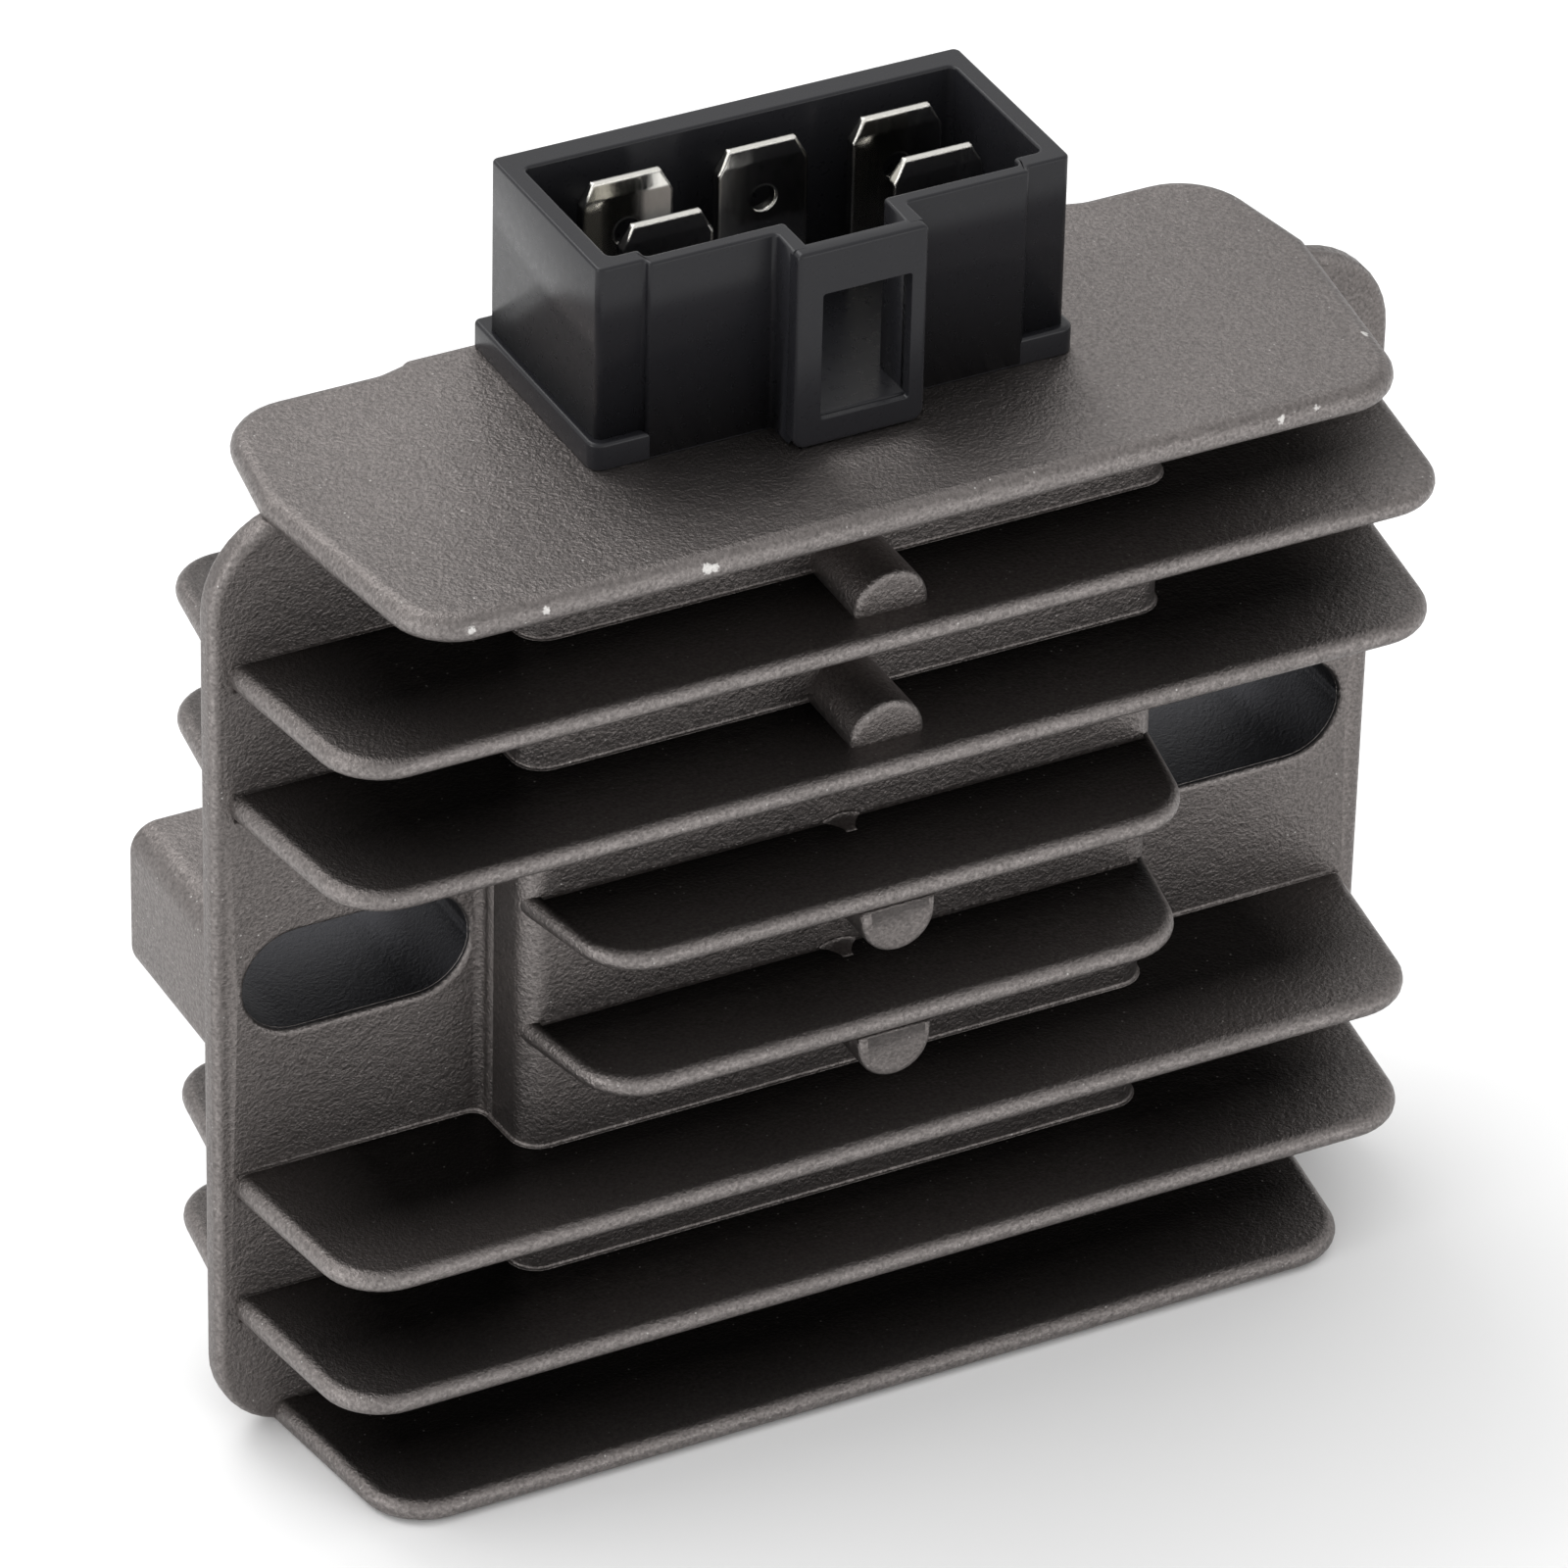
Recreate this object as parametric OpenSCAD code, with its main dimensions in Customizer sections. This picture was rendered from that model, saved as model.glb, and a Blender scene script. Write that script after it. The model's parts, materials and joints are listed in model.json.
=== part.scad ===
// Voltage regulator rectifier: a finned casting, a five-blade connector and the potted electronics.
// X runs along the fins, Y goes back to the mounting face, Z is up.
// The origin is in the mounting face, midway between the two slotted holes.

/* [Plate and ears] */
// Width of the plate
plate_w = 84.2; // [80:0.1:90]
// Height of the casting, from the top flange to the lowest fin
body_h = 71.1; // [71:0.1:78]
// Thickness of the plate
plate_t = 2.0; // [1.5:0.1:2.6]
// Radius of the plate's upper corners
plate_top_r = 6.8; // [4:0.1:9]
// Radius of the plate's lower corners
plate_low_r = 6.0; // [3:0.1:7]
// From the plate's front face to the mounting face
mount_depth = 13.3; // [12.8:0.1:16]
// From the top of the flange down to the slot axis
slot_drop = 36.2; // [35:0.1:37.5]
// Distance between the middles of the two slots
slot_spacing = 64.1; // [63.5:0.1:65]
// Length of a slot from end to end
slot_len = 16.0; // [12:0.1:16.4]
// Width of a slot
slot_w = 7.6; // [5:0.1:8]
// Height of the boss behind each ear
ear_boss_h = 11.2; // [10:0.1:12.4]
// Radius of the ear boss's outer corners
ear_boss_r = 2.0; // [0.5:0.1:3]

/* [Fins] */
// Top face of the first fin below the flange, down from the flange's top
first_fin_drop = 11.1; // [10.5:0.1:11.6]
// Pitch of the fins
fin_pitch = 9.75; // [9.5:0.05:9.8]
// Half width of a full fin at the plate
fin_half_w = 41.1; // [38:0.1:42]
// Depth of the front fins
fin_depth = 14.15; // [10:0.1:18]
// How far a fin's end leans inwards for each mm of depth
fin_lean = 0.15; // [0.05:0.005:0.25]
// Thickness of a fin at its root
fin_root_t = 2.0; // [1.6:0.1:2.4]
// Thickness of a fin at its rounded tip
fin_tip_t = 1.5; // [1.2:0.1:1.6]
// Radius of a fin's front corners, seen from above
fin_corner_r = 4.5; // [2:0.1:6]
// Radius of the fillet at the root of a fin
root_fillet = 0.3; // [0.2:0.1:1]
// Half width of the two short fins at the plate
short_half_w = 23.0; // [22.4:0.1:24]
// Gap between the mounting face and the back edges of the rear fins
rear_fin_gap = 0.1; // [0:0.1:1]
// Radius of the rear fins' back corners, seen from above
rear_corner_r = 3.8; // [2:0.1:5]

/* [Top flange and lowest fin] */
// Half width of the top flange at the plate
flange_half_w = 37.1; // [35:0.1:38]
// Depth of the top flange in front of the plate
flange_front = 17.2; // [15:0.1:20]
// Depth of the top flange behind the plate's front face
flange_rear = 11.5; // [11:0.1:12]
// Radius of the flange's back corners, seen from above
flange_corner_r = 5.0; // [3:0.1:7]
// Thickness of the top flange at its edges
flange_tip_t = 2.0; // [1.6:0.1:2.4]
// Thickness of the top flange at the plate
flange_root_t = 2.6; // [2.4:0.1:3]
// Shift of the top flange along X from the middle of the plate
flange_x = -1.1; // [-1.5:0.1:1.5]
// Half width of the lowest fin at the plate
low_half_w = 37.6; // [36:0.1:40]
// Shift of the lowest fin along X from the middle of the plate
low_x = -0.7; // [-1.5:0.1:1.5]
// Depth of the lowest fin in front of the plate
low_depth = 14.4; // [10:0.1:18]

/* [Raised block and pot] */
// Height of the raised block above the plate
block_depth = 5.6; // [4.5:0.1:7]
// Half width of the block at the plate
block_half_w = 23.3; // [23:0.1:23.8]
// How far each side of the block leans inwards up to its face
block_draft = 0.5; // [0:0.1:1]
// Radius of the block's upright corners
block_r = 1.9; // [1:0.1:3]
// Half width of the pot behind the plate
pot_half_w = 23.6; // [23.2:0.1:24]
// From the plate's front face to the rim of the pot
pot_depth = 12.2; // [11.8:0.1:12.6]
// Thickness of the pot's side and bottom walls
pot_wall = 2.6; // [2:0.1:2.8]
// Metal left between the pot's floor and the face of the block
pot_floor_t = 2.2; // [1.6:0.1:2.6]
// Radius of the pot's inside corners
pot_r = 2.5; // [1:0.1:3]
// Level of the resin below the pot's rim
resin_drop = 0.6; // [0.3:0.1:0.8]

/* [Ejector pads] */
// Radius of the half-round pads
pad_r = 2.6; // [2:0.1:3]
// Length of the pads on the two upper fins, from the block's face
pad_len = 6.1; // [4:0.1:7]
// Shift of the pads along X from the middle of the plate
pad_x = -0.4; // [-2:0.1:2]
// Depth of the hanging pads' centres below their fin
pad_hang = 0.7; // [0.2:0.1:1.2]
// How far the hanging pads' roots stand out round them
pad_collar = 0.5; // [0.2:0.1:0.8]
// Length of those roots from the block's face
pad_collar_len = 1.6; // [0.5:0.1:3]

/* [Connector housing] */
// Shift of the connector along X from the middle of the plate
conn_x = -1.4; // [-1.6:0.1:0]
// Width of the housing along X
conn_w = 33.0; // [32:0.1:33.4]
// Housing's back face, behind the plate's front face
conn_back = 10.5; // [10:0.1:10.6]
// Housing's corner posts, in front of the plate's front face
conn_post = 4.7; // [4.5:0.1:5]
// How far the front wall stands out past the corner posts
conn_step = 0.6; // [0.3:0.1:0.8]
// Width of each corner post
conn_post_w = 3.2; // [2.5:0.1:3.5]
// Height of the housing above the flange
conn_h = 14.15; // [14:0.05:16]
// Thickness of the end walls and of the wall at the posts
conn_wall = 1.35; // [1.2:0.05:1.6]
// Thickness of the back wall
conn_back_wall = 2.0; // [1.6:0.1:2.2]
// Thickness of the front wall between the posts
conn_front_wall = 1.05; // [0.9:0.05:1.3]
// Floor of the socket above the flange
conn_floor = 2.0; // [1.5:0.1:3]
// Height of the skirt round the housing's foot
skirt_h = 1.9; // [1:0.1:2.5]
// How far the skirt stands out at the ends
skirt_out = 0.55; // [0.2:0.05:0.7]
// How far the skirt stands out at the back
skirt_back = 1.3; // [0.4:0.1:1.5]
// Depth of the foot that passes through the flange
foot_h = 5.0; // [4:0.1:6]
// Margin of the foot inside the housing's outline
foot_in = 1.5; // [1:0.1:2]

/* [Latch box] */
// Width of the latch box
latch_w = 9.1; // [8.5:0.1:10]
// Front of the latch box, in front of the plate's front face
latch_front = 8.4; // [8.2:0.1:9]
// Thickness of the latch box's front wall
latch_wall = 1.2; // [1:0.1:1.5]
// Width of the bay inside the latch box
latch_bay_w = 6.9; // [6.5:0.1:7.1]
// Radius of the latch box's lower front corners
latch_low_r = 0.9; // [0.3:0.1:1.5]
// Width of the window
window_w = 6.2; // [5:0.1:6.4]
// Shift of the window along X from the middle of the latch box
window_x = 0.35; // [0:0.05:0.4]
// Lower edge of the window above the flange
window_low = 1.9; // [1.5:0.1:3]
// Height of the window
window_h = 9.05; // [7:0.1:9.5]

/* [Blades] */
// Width of a blade
blade_w = 6.3; // [6:0.1:6.3]
// Thickness of a blade
blade_t = 0.8; // [0.6:0.1:0.8]
// Tip of the blades above the flange
blade_tip = 13.75; // [13:0.05:14]
// Pitch of the blades along X
blade_pitch = 9.5; // [9.4:0.1:10]
// Middle of the back row, behind the plate's front face
back_row = 5.6; // [5.5:0.1:5.7]
// Middle of the front row, behind the plate's front face
front_row = 0.0; // [-0.1:0.1:0.1]
// Width of the chamfer at each corner of a tip
blade_chamfer = 0.8; // [0.5:0.1:1.2]
// Length of that chamfer
blade_chamfer_l = 1.5; // [1:0.1:2]
// Length of the bevel that thins a tip
blade_bevel_l = 1.1; // [0.6:0.1:1.5]
// Diameter of the hole in a blade
blade_hole_d = 1.8; // [1.4:0.1:2]
// Distance of the hole from the tip
blade_hole_l = 3.8; // [3:0.1:4.5]
// Width of a blade's leg below the socket
leg_w = 3.6; // [3:0.1:4.5]

/* [Electronics] */
// Gap between the substrate and the pot's side walls
substrate_side_gap = 2.0; // [1.5:0.1:3]
// Gap between the substrate and the pot's upper and lower walls
substrate_end_gap = 5.1; // [4:0.1:6]
// Thickness of the substrate
substrate_t = 1.0; // [0.6:0.1:1.2]
// Thickness of the copper pads
pad_cu_t = 0.3; // [0.2:0.05:0.4]
// Thickness of the diode and thyristor chips
chip_t = 0.9; // [0.6:0.1:1]
// Side of the diode and thyristor chips
chip_side = 6.0; // [4:0.5:7]
// Pitch of the three phases along Z
phase_pitch = 13.0; // [11:0.5:14]
// Thickness of the control board
board_t = 1.6; // [1:0.1:1.6]
// Gap between the control board and the pot's side walls
board_side_gap = 2.5; // [2:0.1:4]
// Gap between the control board and the pot's upper and lower walls
board_end_gap = 7.1; // [6:0.1:9]
// Width of the control circuit's body
ic_w = 6.0; // [5:0.5:8]
// Height of the control circuit's body
ic_h = 5.0; // [4:0.5:6]
// Width of a gate transistor
transistor_w = 6.5; // [5:0.5:7]
// Height of a gate transistor
transistor_h = 6.0; // [5:0.5:7]
// Diameter of the capacitor
cap_d = 5.6; // [5:0.1:5.6]
// Length of the capacitor
cap_l = 9.0; // [7:0.5:12]

/* [Hidden] */
$fn = 48;
// Overlap that lets cuts and unions pass cleanly
eps = 0.5;
// Segments of a quarter turn in a polygon's corner
seg = 6;

fin_drop = (fin_root_t - fin_tip_t) / 2;
// Tops of the fins below the flange, and of the lowest fin, down from the flange's top
fin_z = [for (i = [0:5]) -first_fin_drop - i * fin_pitch];
low_z = -body_h + fin_root_t;
rear_depth = mount_depth - rear_fin_gap - plate_t;
pot_low = fin_z[5] - fin_root_t;
cavity_half_w = pot_half_w - pot_wall;
cavity_floor = -block_depth + pot_floor_t;
cavity_top = -flange_root_t - 0.4;
cavity_low = pot_low + pot_wall;
resin_y = pot_depth - resin_drop;
cavity_h = cavity_top - cavity_low;
substrate_w = 2 * (cavity_half_w - substrate_side_gap);
substrate_h = cavity_h - 2 * substrate_end_gap;
board_w = 2 * (cavity_half_w - board_side_gap);
board_h = cavity_h - 2 * board_end_gap;
foot_x = conn_w / 2 - foot_in;
foot_front = -conn_post + foot_in + 0.7;
foot_back = conn_back - foot_in + 0.5;

// The parts below are drawn with y = 0 in the plate's front face and z = 0 in the flange's top
module place() translate([0, -mount_depth, slot_drop]) children();

// Points of an arc round c from angle a0 to angle a1
function arc(c, r, a0, a1, n = seg) =
    [for (i = [0:n]) let (a = a0 + (a1 - a0) * i / n) c + r * [cos(a), sin(a)]];

// Rectangle from low to high with its own radius at each corner, from the lower left round
function round_rect(low, high, r) = concat(
    arc([low.x + r[0], low.y + r[0]], r[0], 180, 270),
    arc([high.x - r[1], low.y + r[1]], r[1], 270, 360),
    arc([high.x - r[2], high.y - r[2]], r[2], 0, 90),
    arc([low.x + r[3], high.y - r[3]], r[3], 90, 180));

// Half of a fin's plan: one leaning end and one rounded corner, for a fin that points to -Y
function fin_corner(half_w, depth, r) = let (
        s = sqrt(1 + fin_lean * fin_lean),
        cx = half_w - r * s - fin_lean * (depth - r))
    arc([cx, r - depth], r, -atan(fin_lean), -90);

function mirrored(p) = [for (i = [len(p) - 1:-1:0]) [-p[i].x, p[i].y]];

// Plan of a fin that points to -Y, starting root deep inside the plate
function fin_plan(half_w, depth, r, root) = let (c = fin_corner(half_w, depth, r))
    concat([[half_w, root]], c, mirrored(c), [[-half_w, root]]);

// Section of a fin along Y: leaning faces, a round tip, and fillets of radius over and under it
function fin_section(depth, root, over, under) = let (r = fin_tip_t / 2) concat(
    [[root, over]], arc([-over, over], over, 0, -90, 4),
    arc([r - depth, -fin_root_t / 2], r, 90, 270, 8),
    under > 0 ? arc([-under, -fin_root_t - under], under, 90, 0, 4) : [],
    [[root, -fin_root_t - under]]);

// Section along Y drawn in the YZ plane, as long as w along X
module along_x(w) translate([-w / 2, 0, 0]) rotate([90, 0, 90]) linear_extrude(w) children();

// Outline drawn in the XZ plane, from y0 back to y1
module along_y(y0, y1) translate([0, y1, 0]) rotate([90, 0, 0]) linear_extrude(y1 - y0) children();

module fin(half_w, depth, r, under = root_fillet) {
    root = plate_t / 2;
    intersection() {
        along_x(2 * half_w + 2) polygon(fin_section(depth, root, root_fillet, under));
        translate([0, 0, -fin_root_t - 2]) linear_extrude(fin_root_t + 4)
            polygon(fin_plan(half_w, depth, r, root));
    }
}

module rear_fin(half_w, under = root_fillet) translate([0, plate_t, 0]) mirror([0, 1, 0])
    fin(half_w, rear_depth, rear_corner_r, under);

module plate() along_y(0, plate_t)
    polygon(round_rect([-plate_w / 2, -body_h], [plate_w / 2, -flange_tip_t / 2],
        [plate_low_r, plate_low_r, plate_top_r, plate_top_r]));

// Flat-topped flange whose under side slopes from the plate to its rounded edges
module top_flange() {
    r = flange_tip_t / 2 - 0.1;
    section = concat(
        arc([r - flange_front, -r], r, 90, 180), arc([r - flange_front, r - flange_tip_t], r, 180, 270),
        [[-root_fillet, -flange_root_t]], arc([-root_fillet, -flange_root_t - root_fillet],
            root_fillet, 90, 0, 4),
        [[plate_t, -flange_root_t - root_fillet]], [[plate_t, -flange_root_t]],
        arc([flange_rear - r, r - flange_tip_t], r, 270, 360), arc([flange_rear - r, -r], r, 0, 90));
    front = fin_corner(flange_half_w, flange_front, fin_corner_r);
    rear = [for (p = fin_corner(flange_half_w, flange_rear, flange_corner_r)) [p.x, -p.y]];
    half = concat([for (i = [len(rear) - 1:-1:0]) rear[i]], front);
    translate([flange_x, 0, 0]) intersection() {
        along_x(2 * flange_half_w + 2) polygon(section);
        translate([0, 0, -flange_root_t - 2]) linear_extrude(flange_root_t + 4)
            polygon(concat(half, mirrored(half)));
    }
}

module lowest_fin() translate([low_x, 0, low_z]) {
    fin(low_half_w, low_depth, fin_corner_r, 0);
    rear_fin(low_half_w, 0);
}

module raised_block() {
    face = block_half_w - block_draft;
    points = concat([[block_half_w, plate_t / 2]], arc([face - block_r, block_r - block_depth],
        block_r, 0, -90));
    translate([0, 0, pot_low]) linear_extrude(-pot_low - flange_tip_t / 2)
        polygon(concat(points, mirrored(points)));
}

module pot() {
    r = 1.2;
    points = concat(arc([pot_half_w - r, pot_depth - r], r, 90, 0, 4), [[pot_half_w, plate_t / 2]]);
    translate([0, 0, pot_low]) linear_extrude(-pot_low - flange_tip_t / 2)
        polygon(concat(points, mirrored(points)));
    // The rim runs up to the flange's top
    translate([0, 0, -flange_tip_t]) linear_extrude(flange_tip_t) polygon(concat(points, mirrored(points)));
}

module ear_boss(side) along_y(plate_t / 2, mount_depth)
    translate([0, -slot_drop]) mirror([side < 0 ? 1 : 0, 0])
        polygon(round_rect([pot_half_w - 1, -ear_boss_h / 2], [plate_w / 2, ear_boss_h / 2],
            [0.01, ear_boss_r, ear_boss_r, 0.01]));

module slot(side) translate([side * slot_spacing / 2, mount_depth / 2, -slot_drop]) {
    reach = (slot_len - slot_w) / 2;
    for (end = [-1, 1]) translate([end * reach, 0, 0]) rotate([90, 0, 0])
        cylinder(d = slot_w, h = mount_depth + 2 * eps, center = true);
    cube([2 * reach, mount_depth + 2 * eps, slot_w], center = true);
}

// Pads on the two upper fins stand up from the fin, those of the short fins hang below it
module ejector_pads() {
    face = -block_depth + eps;
    for (i = [0, 1]) translate([pad_x, 0, fin_z[i]]) along_y(-block_depth - pad_len, face)
        polygon(concat([[pad_r, -fin_root_t / 2]], arc([0, 0], pad_r, 0, 180, 12),
            [[-pad_r, -fin_root_t / 2]]));
    for (i = [2, 3]) translate([pad_x, 0, fin_z[i] - fin_root_t]) {
        along_y(0.2 - fin_depth, face)
            polygon(concat([[-pad_r, fin_root_t / 2]], arc([0, -pad_hang], pad_r, 180, 360, 12),
                [[pad_r, fin_root_t / 2]]));
        along_y(-block_depth - pad_collar_len, face) translate([0, -pad_hang])
            circle(r = pad_r + pad_collar);
    }
}

// The cut runs on past the pot's rim, so that no rear fin crosses the opening
module cavity() along_y(cavity_floor, mount_depth + eps)
    polygon(round_rect([-cavity_half_w, cavity_low], [cavity_half_w, cavity_top],
        [pot_r, pot_r, pot_r, pot_r]));

// The foot of the connector and the hole that it fills in the flange
module connector_foot(low) translate([conn_x, 0, low]) linear_extrude(-low)
    polygon(round_rect([-foot_x, foot_front], [foot_x, foot_back], [1, 1, 1, 1]));

module heat_sink() color("#6f6a67") place() difference() {
    union() {
        plate();
        top_flange();
        lowest_fin();
        raised_block();
        pot();
        for (i = [0, 1, 4, 5]) translate([0, 0, fin_z[i]]) {
            fin(fin_half_w, fin_depth, fin_corner_r);
            rear_fin(fin_half_w);
        }
        for (i = [2, 3]) translate([0, 0, fin_z[i]]) fin(short_half_w, fin_depth, fin_corner_r);
        for (side = [-1, 1]) ear_boss(side);
        ejector_pads();
    }
    cavity();
    for (side = [-1, 1]) slot(side);
    translate([0, 0, eps]) connector_foot(-foot_h - eps);
}

// Outline of the housing above the skirt
module housing_outline() {
    x = conn_w / 2;
    polygon(round_rect([-x, -conn_post], [x, conn_back], [0.5, 0.5, 0.5, 0.5]));
    polygon(round_rect([conn_post_w - x, -conn_post - conn_step], [x - conn_post_w, 0],
        [0.2, 0.2, 0.2, 0.2]));
}

module skirt_outline() {
    x = conn_w / 2 + skirt_out;
    polygon(round_rect([-x, -conn_post - conn_step], [x, conn_back + skirt_back], [0.9, 0.9, 0.5, 0.5]));
}

// Box for the latch, with rounded upright edges and rounded lower front corners
module latch_box() intersection() {
    linear_extrude(conn_h)
        polygon(round_rect([-latch_w / 2, -latch_front], [latch_w / 2, 0], [0.5, 0.5, 0.2, 0.2]));
    along_y(-latch_front - 1, 1) polygon(round_rect([-latch_w / 2 - 0.1, 0], [latch_w / 2 + 0.1, conn_h],
        [latch_low_r, latch_low_r, 0.01, 0.01]));
}

module socket_outline() {
    x = conn_w / 2;
    front = -conn_post - conn_step + conn_front_wall;
    polygon(round_rect([conn_wall - x, conn_wall - conn_post], [x - conn_wall, conn_back - conn_back_wall],
        [0.4, 0.4, 0.4, 0.4]));
    polygon(round_rect([conn_post_w - x + 0.2, front], [x - conn_post_w - 0.2, 0], [0.3, 0.3, 0.3, 0.3]));
    polygon(round_rect([-latch_bay_w / 2, -latch_front + latch_wall], [latch_bay_w / 2, 0],
        [0.3, 0.3, 0.3, 0.3]));
}

module connector_housing() color("#17181a") place() difference() {
    union() {
        translate([conn_x, 0, 0]) {
            linear_extrude(conn_h) housing_outline();
            latch_box();
            linear_extrude(skirt_h) skirt_outline();
        }
        connector_foot(-foot_h);
    }
    translate([conn_x, 0, conn_floor]) linear_extrude(conn_h) socket_outline();
    translate([conn_x + window_x - window_w / 2, -latch_front - 1, window_low])
        cube([window_w, latch_wall + 1 + eps, window_h]);
    for (i = [-1, 0, 1]) leg_hole(i * blade_pitch, back_row);
    for (i = [-1, 1]) leg_hole(i * blade_pitch, front_row);
}

// The hole that a blade's leg fills in the housing's floor and foot
module leg_hole(x, y) translate([conn_x + x - leg_w / 2, y - blade_t / 2, -foot_h - eps])
    cube([leg_w, blade_t, conn_floor + foot_h + 2 * eps]);

// A flat blade with a chamfered and bevelled tip, standing on the socket's floor, and its leg
module terminal(x, y, leg_low) place() translate([conn_x + x, y, 0]) {
    w = blade_w / 2;
    t = blade_t / 2;
    difference() {
        intersection() {
            along_y(-t, t) polygon([[-w, conn_floor], [w, conn_floor], [w, blade_tip - blade_chamfer_l],
                [w - blade_chamfer, blade_tip], [blade_chamfer - w, blade_tip],
                [-w, blade_tip - blade_chamfer_l]]);
            along_x(blade_w) polygon([[-t, conn_floor], [t, conn_floor], [t, blade_tip - blade_bevel_l],
                [t / 2, blade_tip], [-t / 2, blade_tip], [-t, blade_tip - blade_bevel_l]]);
        }
        translate([0, 0, blade_tip - blade_hole_l]) rotate([90, 0, 0])
            cylinder(d = blade_hole_d, h = 2 * blade_t, center = true);
    }
    translate([-leg_w / 2, -t, leg_low]) cube([leg_w, blade_t, conn_floor - leg_low]);
}

// Levels inside the pot, from its floor backwards
pad_y = cavity_floor + substrate_t;
chip_y = pad_y + pad_cu_t;
bar_y = chip_y + chip_t;
leg_front_y = front_row - blade_t / 2;
board_back = back_row - blade_t / 2;
board_front = board_back - board_t;
// Middle of the pot's floor, and the rows of the three phases
mid_z = (cavity_top + cavity_low) / 2;
phase_z = [for (i = [1:-1:-1]) mid_z + i * phase_pitch];
plus_x = conn_x - blade_pitch;
minus_x = conn_x + blade_pitch;
board_top = mid_z + board_h / 2;
bar_top = -foot_h - 1;
bar_low = phase_z[2] - chip_side / 2 - 1;
// Columns and rows in which the board's own parts stand
board_col = board_w / 9;
board_row = board_h / 14;
// How far a leg laps over the board or the bus bar that it is soldered to
leg_lap = 6;
lead_w = 3;
lead_t = 0.8;

// Box from low to high
module block(low, high) translate(low) cube(high - low);

module phase_terminal(i) color("#c9c6bd")
    terminal((i - 2) * blade_pitch, back_row, board_top - leg_lap);

module front_terminal(side) color("#c9c6bd")
    terminal(side * blade_pitch, front_row, bar_top - leg_lap);

module substrate() color("#e8e6df") place()
    block([-substrate_w / 2, cavity_floor, mid_z - substrate_h / 2],
        [substrate_w / 2, pad_y, mid_z + substrate_h / 2]);

module phase_pad(i) color("#b87446") place()
    block([plus_x - chip_side / 2 - 1, pad_y, phase_z[i - 1] - chip_side / 2 - 1],
        [minus_x + chip_side / 2 + 1, chip_y, phase_z[i - 1] + chip_side / 2 + 1]);

module chip(x, i) place()
    block([x - chip_side / 2, chip_y, phase_z[i - 1] - chip_side / 2],
        [x + chip_side / 2, bar_y, phase_z[i - 1] + chip_side / 2]);

module diode_chip(i) color("#3b3f46") chip(plus_x, i);

module thyristor_chip(i) color("#50545c") chip(minus_x, i);

module bus_bar(x) color("#b87446") place()
    block([x - leg_w / 2 - 0.4, bar_y, bar_low], [x + leg_w / 2 + 0.4, leg_front_y, bar_top]);

// Foot on the phase's pad and a strip that rises to the board
module phase_lead(i) color("#b87446") place()
    translate([conn_x + (i - 2) * (lead_w + 1), 0, phase_z[i - 1]]) {
        block([-lead_w / 2, chip_y, -1.5], [lead_w / 2, chip_y + lead_t, 1.5]);
        block([-lead_w / 2, chip_y, -lead_t / 2], [lead_w / 2, board_front, lead_t / 2]);
    }

module control_board() color("#2f5d3a") place()
    block([-board_w / 2, board_front, mid_z - board_h / 2], [board_w / 2, board_back, board_top]);

// A part of size w by h by t that is soldered flat on the back of the board
module on_board(x, z, w, h, t) place()
    block([x - w / 2, board_back, mid_z + z - h / 2], [x + w / 2, board_back + t, mid_z + z + h / 2]);

// A round part that lies on the back of the board along X
module lying(x, z, d, l) place()
    translate([x - l / 2, board_back + d / 2, mid_z + z]) rotate([0, 90, 0]) cylinder(d = d, h = l);

module control_ic() color("#26282b") on_board(0, -board_row / 3, ic_w, ic_h, 1.6);

module capacitor() color("#30343a") lying(-2.4 * board_col, 1.3 * board_row, cap_d, cap_l);

module zener_diode() color("#8a4a2e") lying(2.4 * board_col, 1.3 * board_row, 2.6, 5.2);

module gate_resistor(i) color("#3a3a3c")
    on_board((i - 2) * 2 * board_col, -3 * board_row, 3.2, 1.6, 0.6);

module gate_transistor(i) color("#26282b")
    on_board((2 * i - 3) * 2 * board_col, -5 * board_row, transistor_w, transistor_h, 2.3);

// The resin fills the pot round everything in it
module potting_resin() color("#1f2022") difference() {
    place() along_y(cavity_floor, resin_y)
        polygon(round_rect([-cavity_half_w, cavity_low], [cavity_half_w, cavity_top],
            [pot_r, pot_r, pot_r, pot_r]));
    place() connector_foot(-foot_h);
    for (i = [1:3]) {
        phase_terminal(i);
        phase_pad(i);
        diode_chip(i);
        thyristor_chip(i);
        phase_lead(i);
        gate_resistor(i);
    }
    for (side = [-1, 1]) front_terminal(side);
    for (x = [plus_x, minus_x]) bus_bar(x);
    for (i = [1, 2]) gate_transistor(i);
    substrate();
    control_board();
    control_ic();
    capacitor();
    zener_diode();
}

heat_sink();
connector_housing();
phase_terminal(1);  // phase_terminal_1
phase_terminal(2);  // phase_terminal_2
phase_terminal(3);  // phase_terminal_3
front_terminal(-1);  // positive_terminal
front_terminal(1);  // negative_terminal
substrate();
phase_pad(1);  // phase_pad_1
phase_pad(2);  // phase_pad_2
phase_pad(3);  // phase_pad_3
diode_chip(1);  // diode_chip_1
diode_chip(2);  // diode_chip_2
diode_chip(3);  // diode_chip_3
thyristor_chip(1);  // thyristor_chip_1
thyristor_chip(2);  // thyristor_chip_2
thyristor_chip(3);  // thyristor_chip_3
bus_bar(plus_x);  // positive_bus_bar
bus_bar(minus_x);  // negative_bus_bar
phase_lead(1);  // phase_lead_1
phase_lead(2);  // phase_lead_2
phase_lead(3);  // phase_lead_3
control_board();
control_ic();
capacitor();
zener_diode();
gate_resistor(1);  // gate_resistor_1
gate_resistor(2);  // gate_resistor_2
gate_resistor(3);  // gate_resistor_3
gate_transistor(1);  // gate_transistor_1
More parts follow.
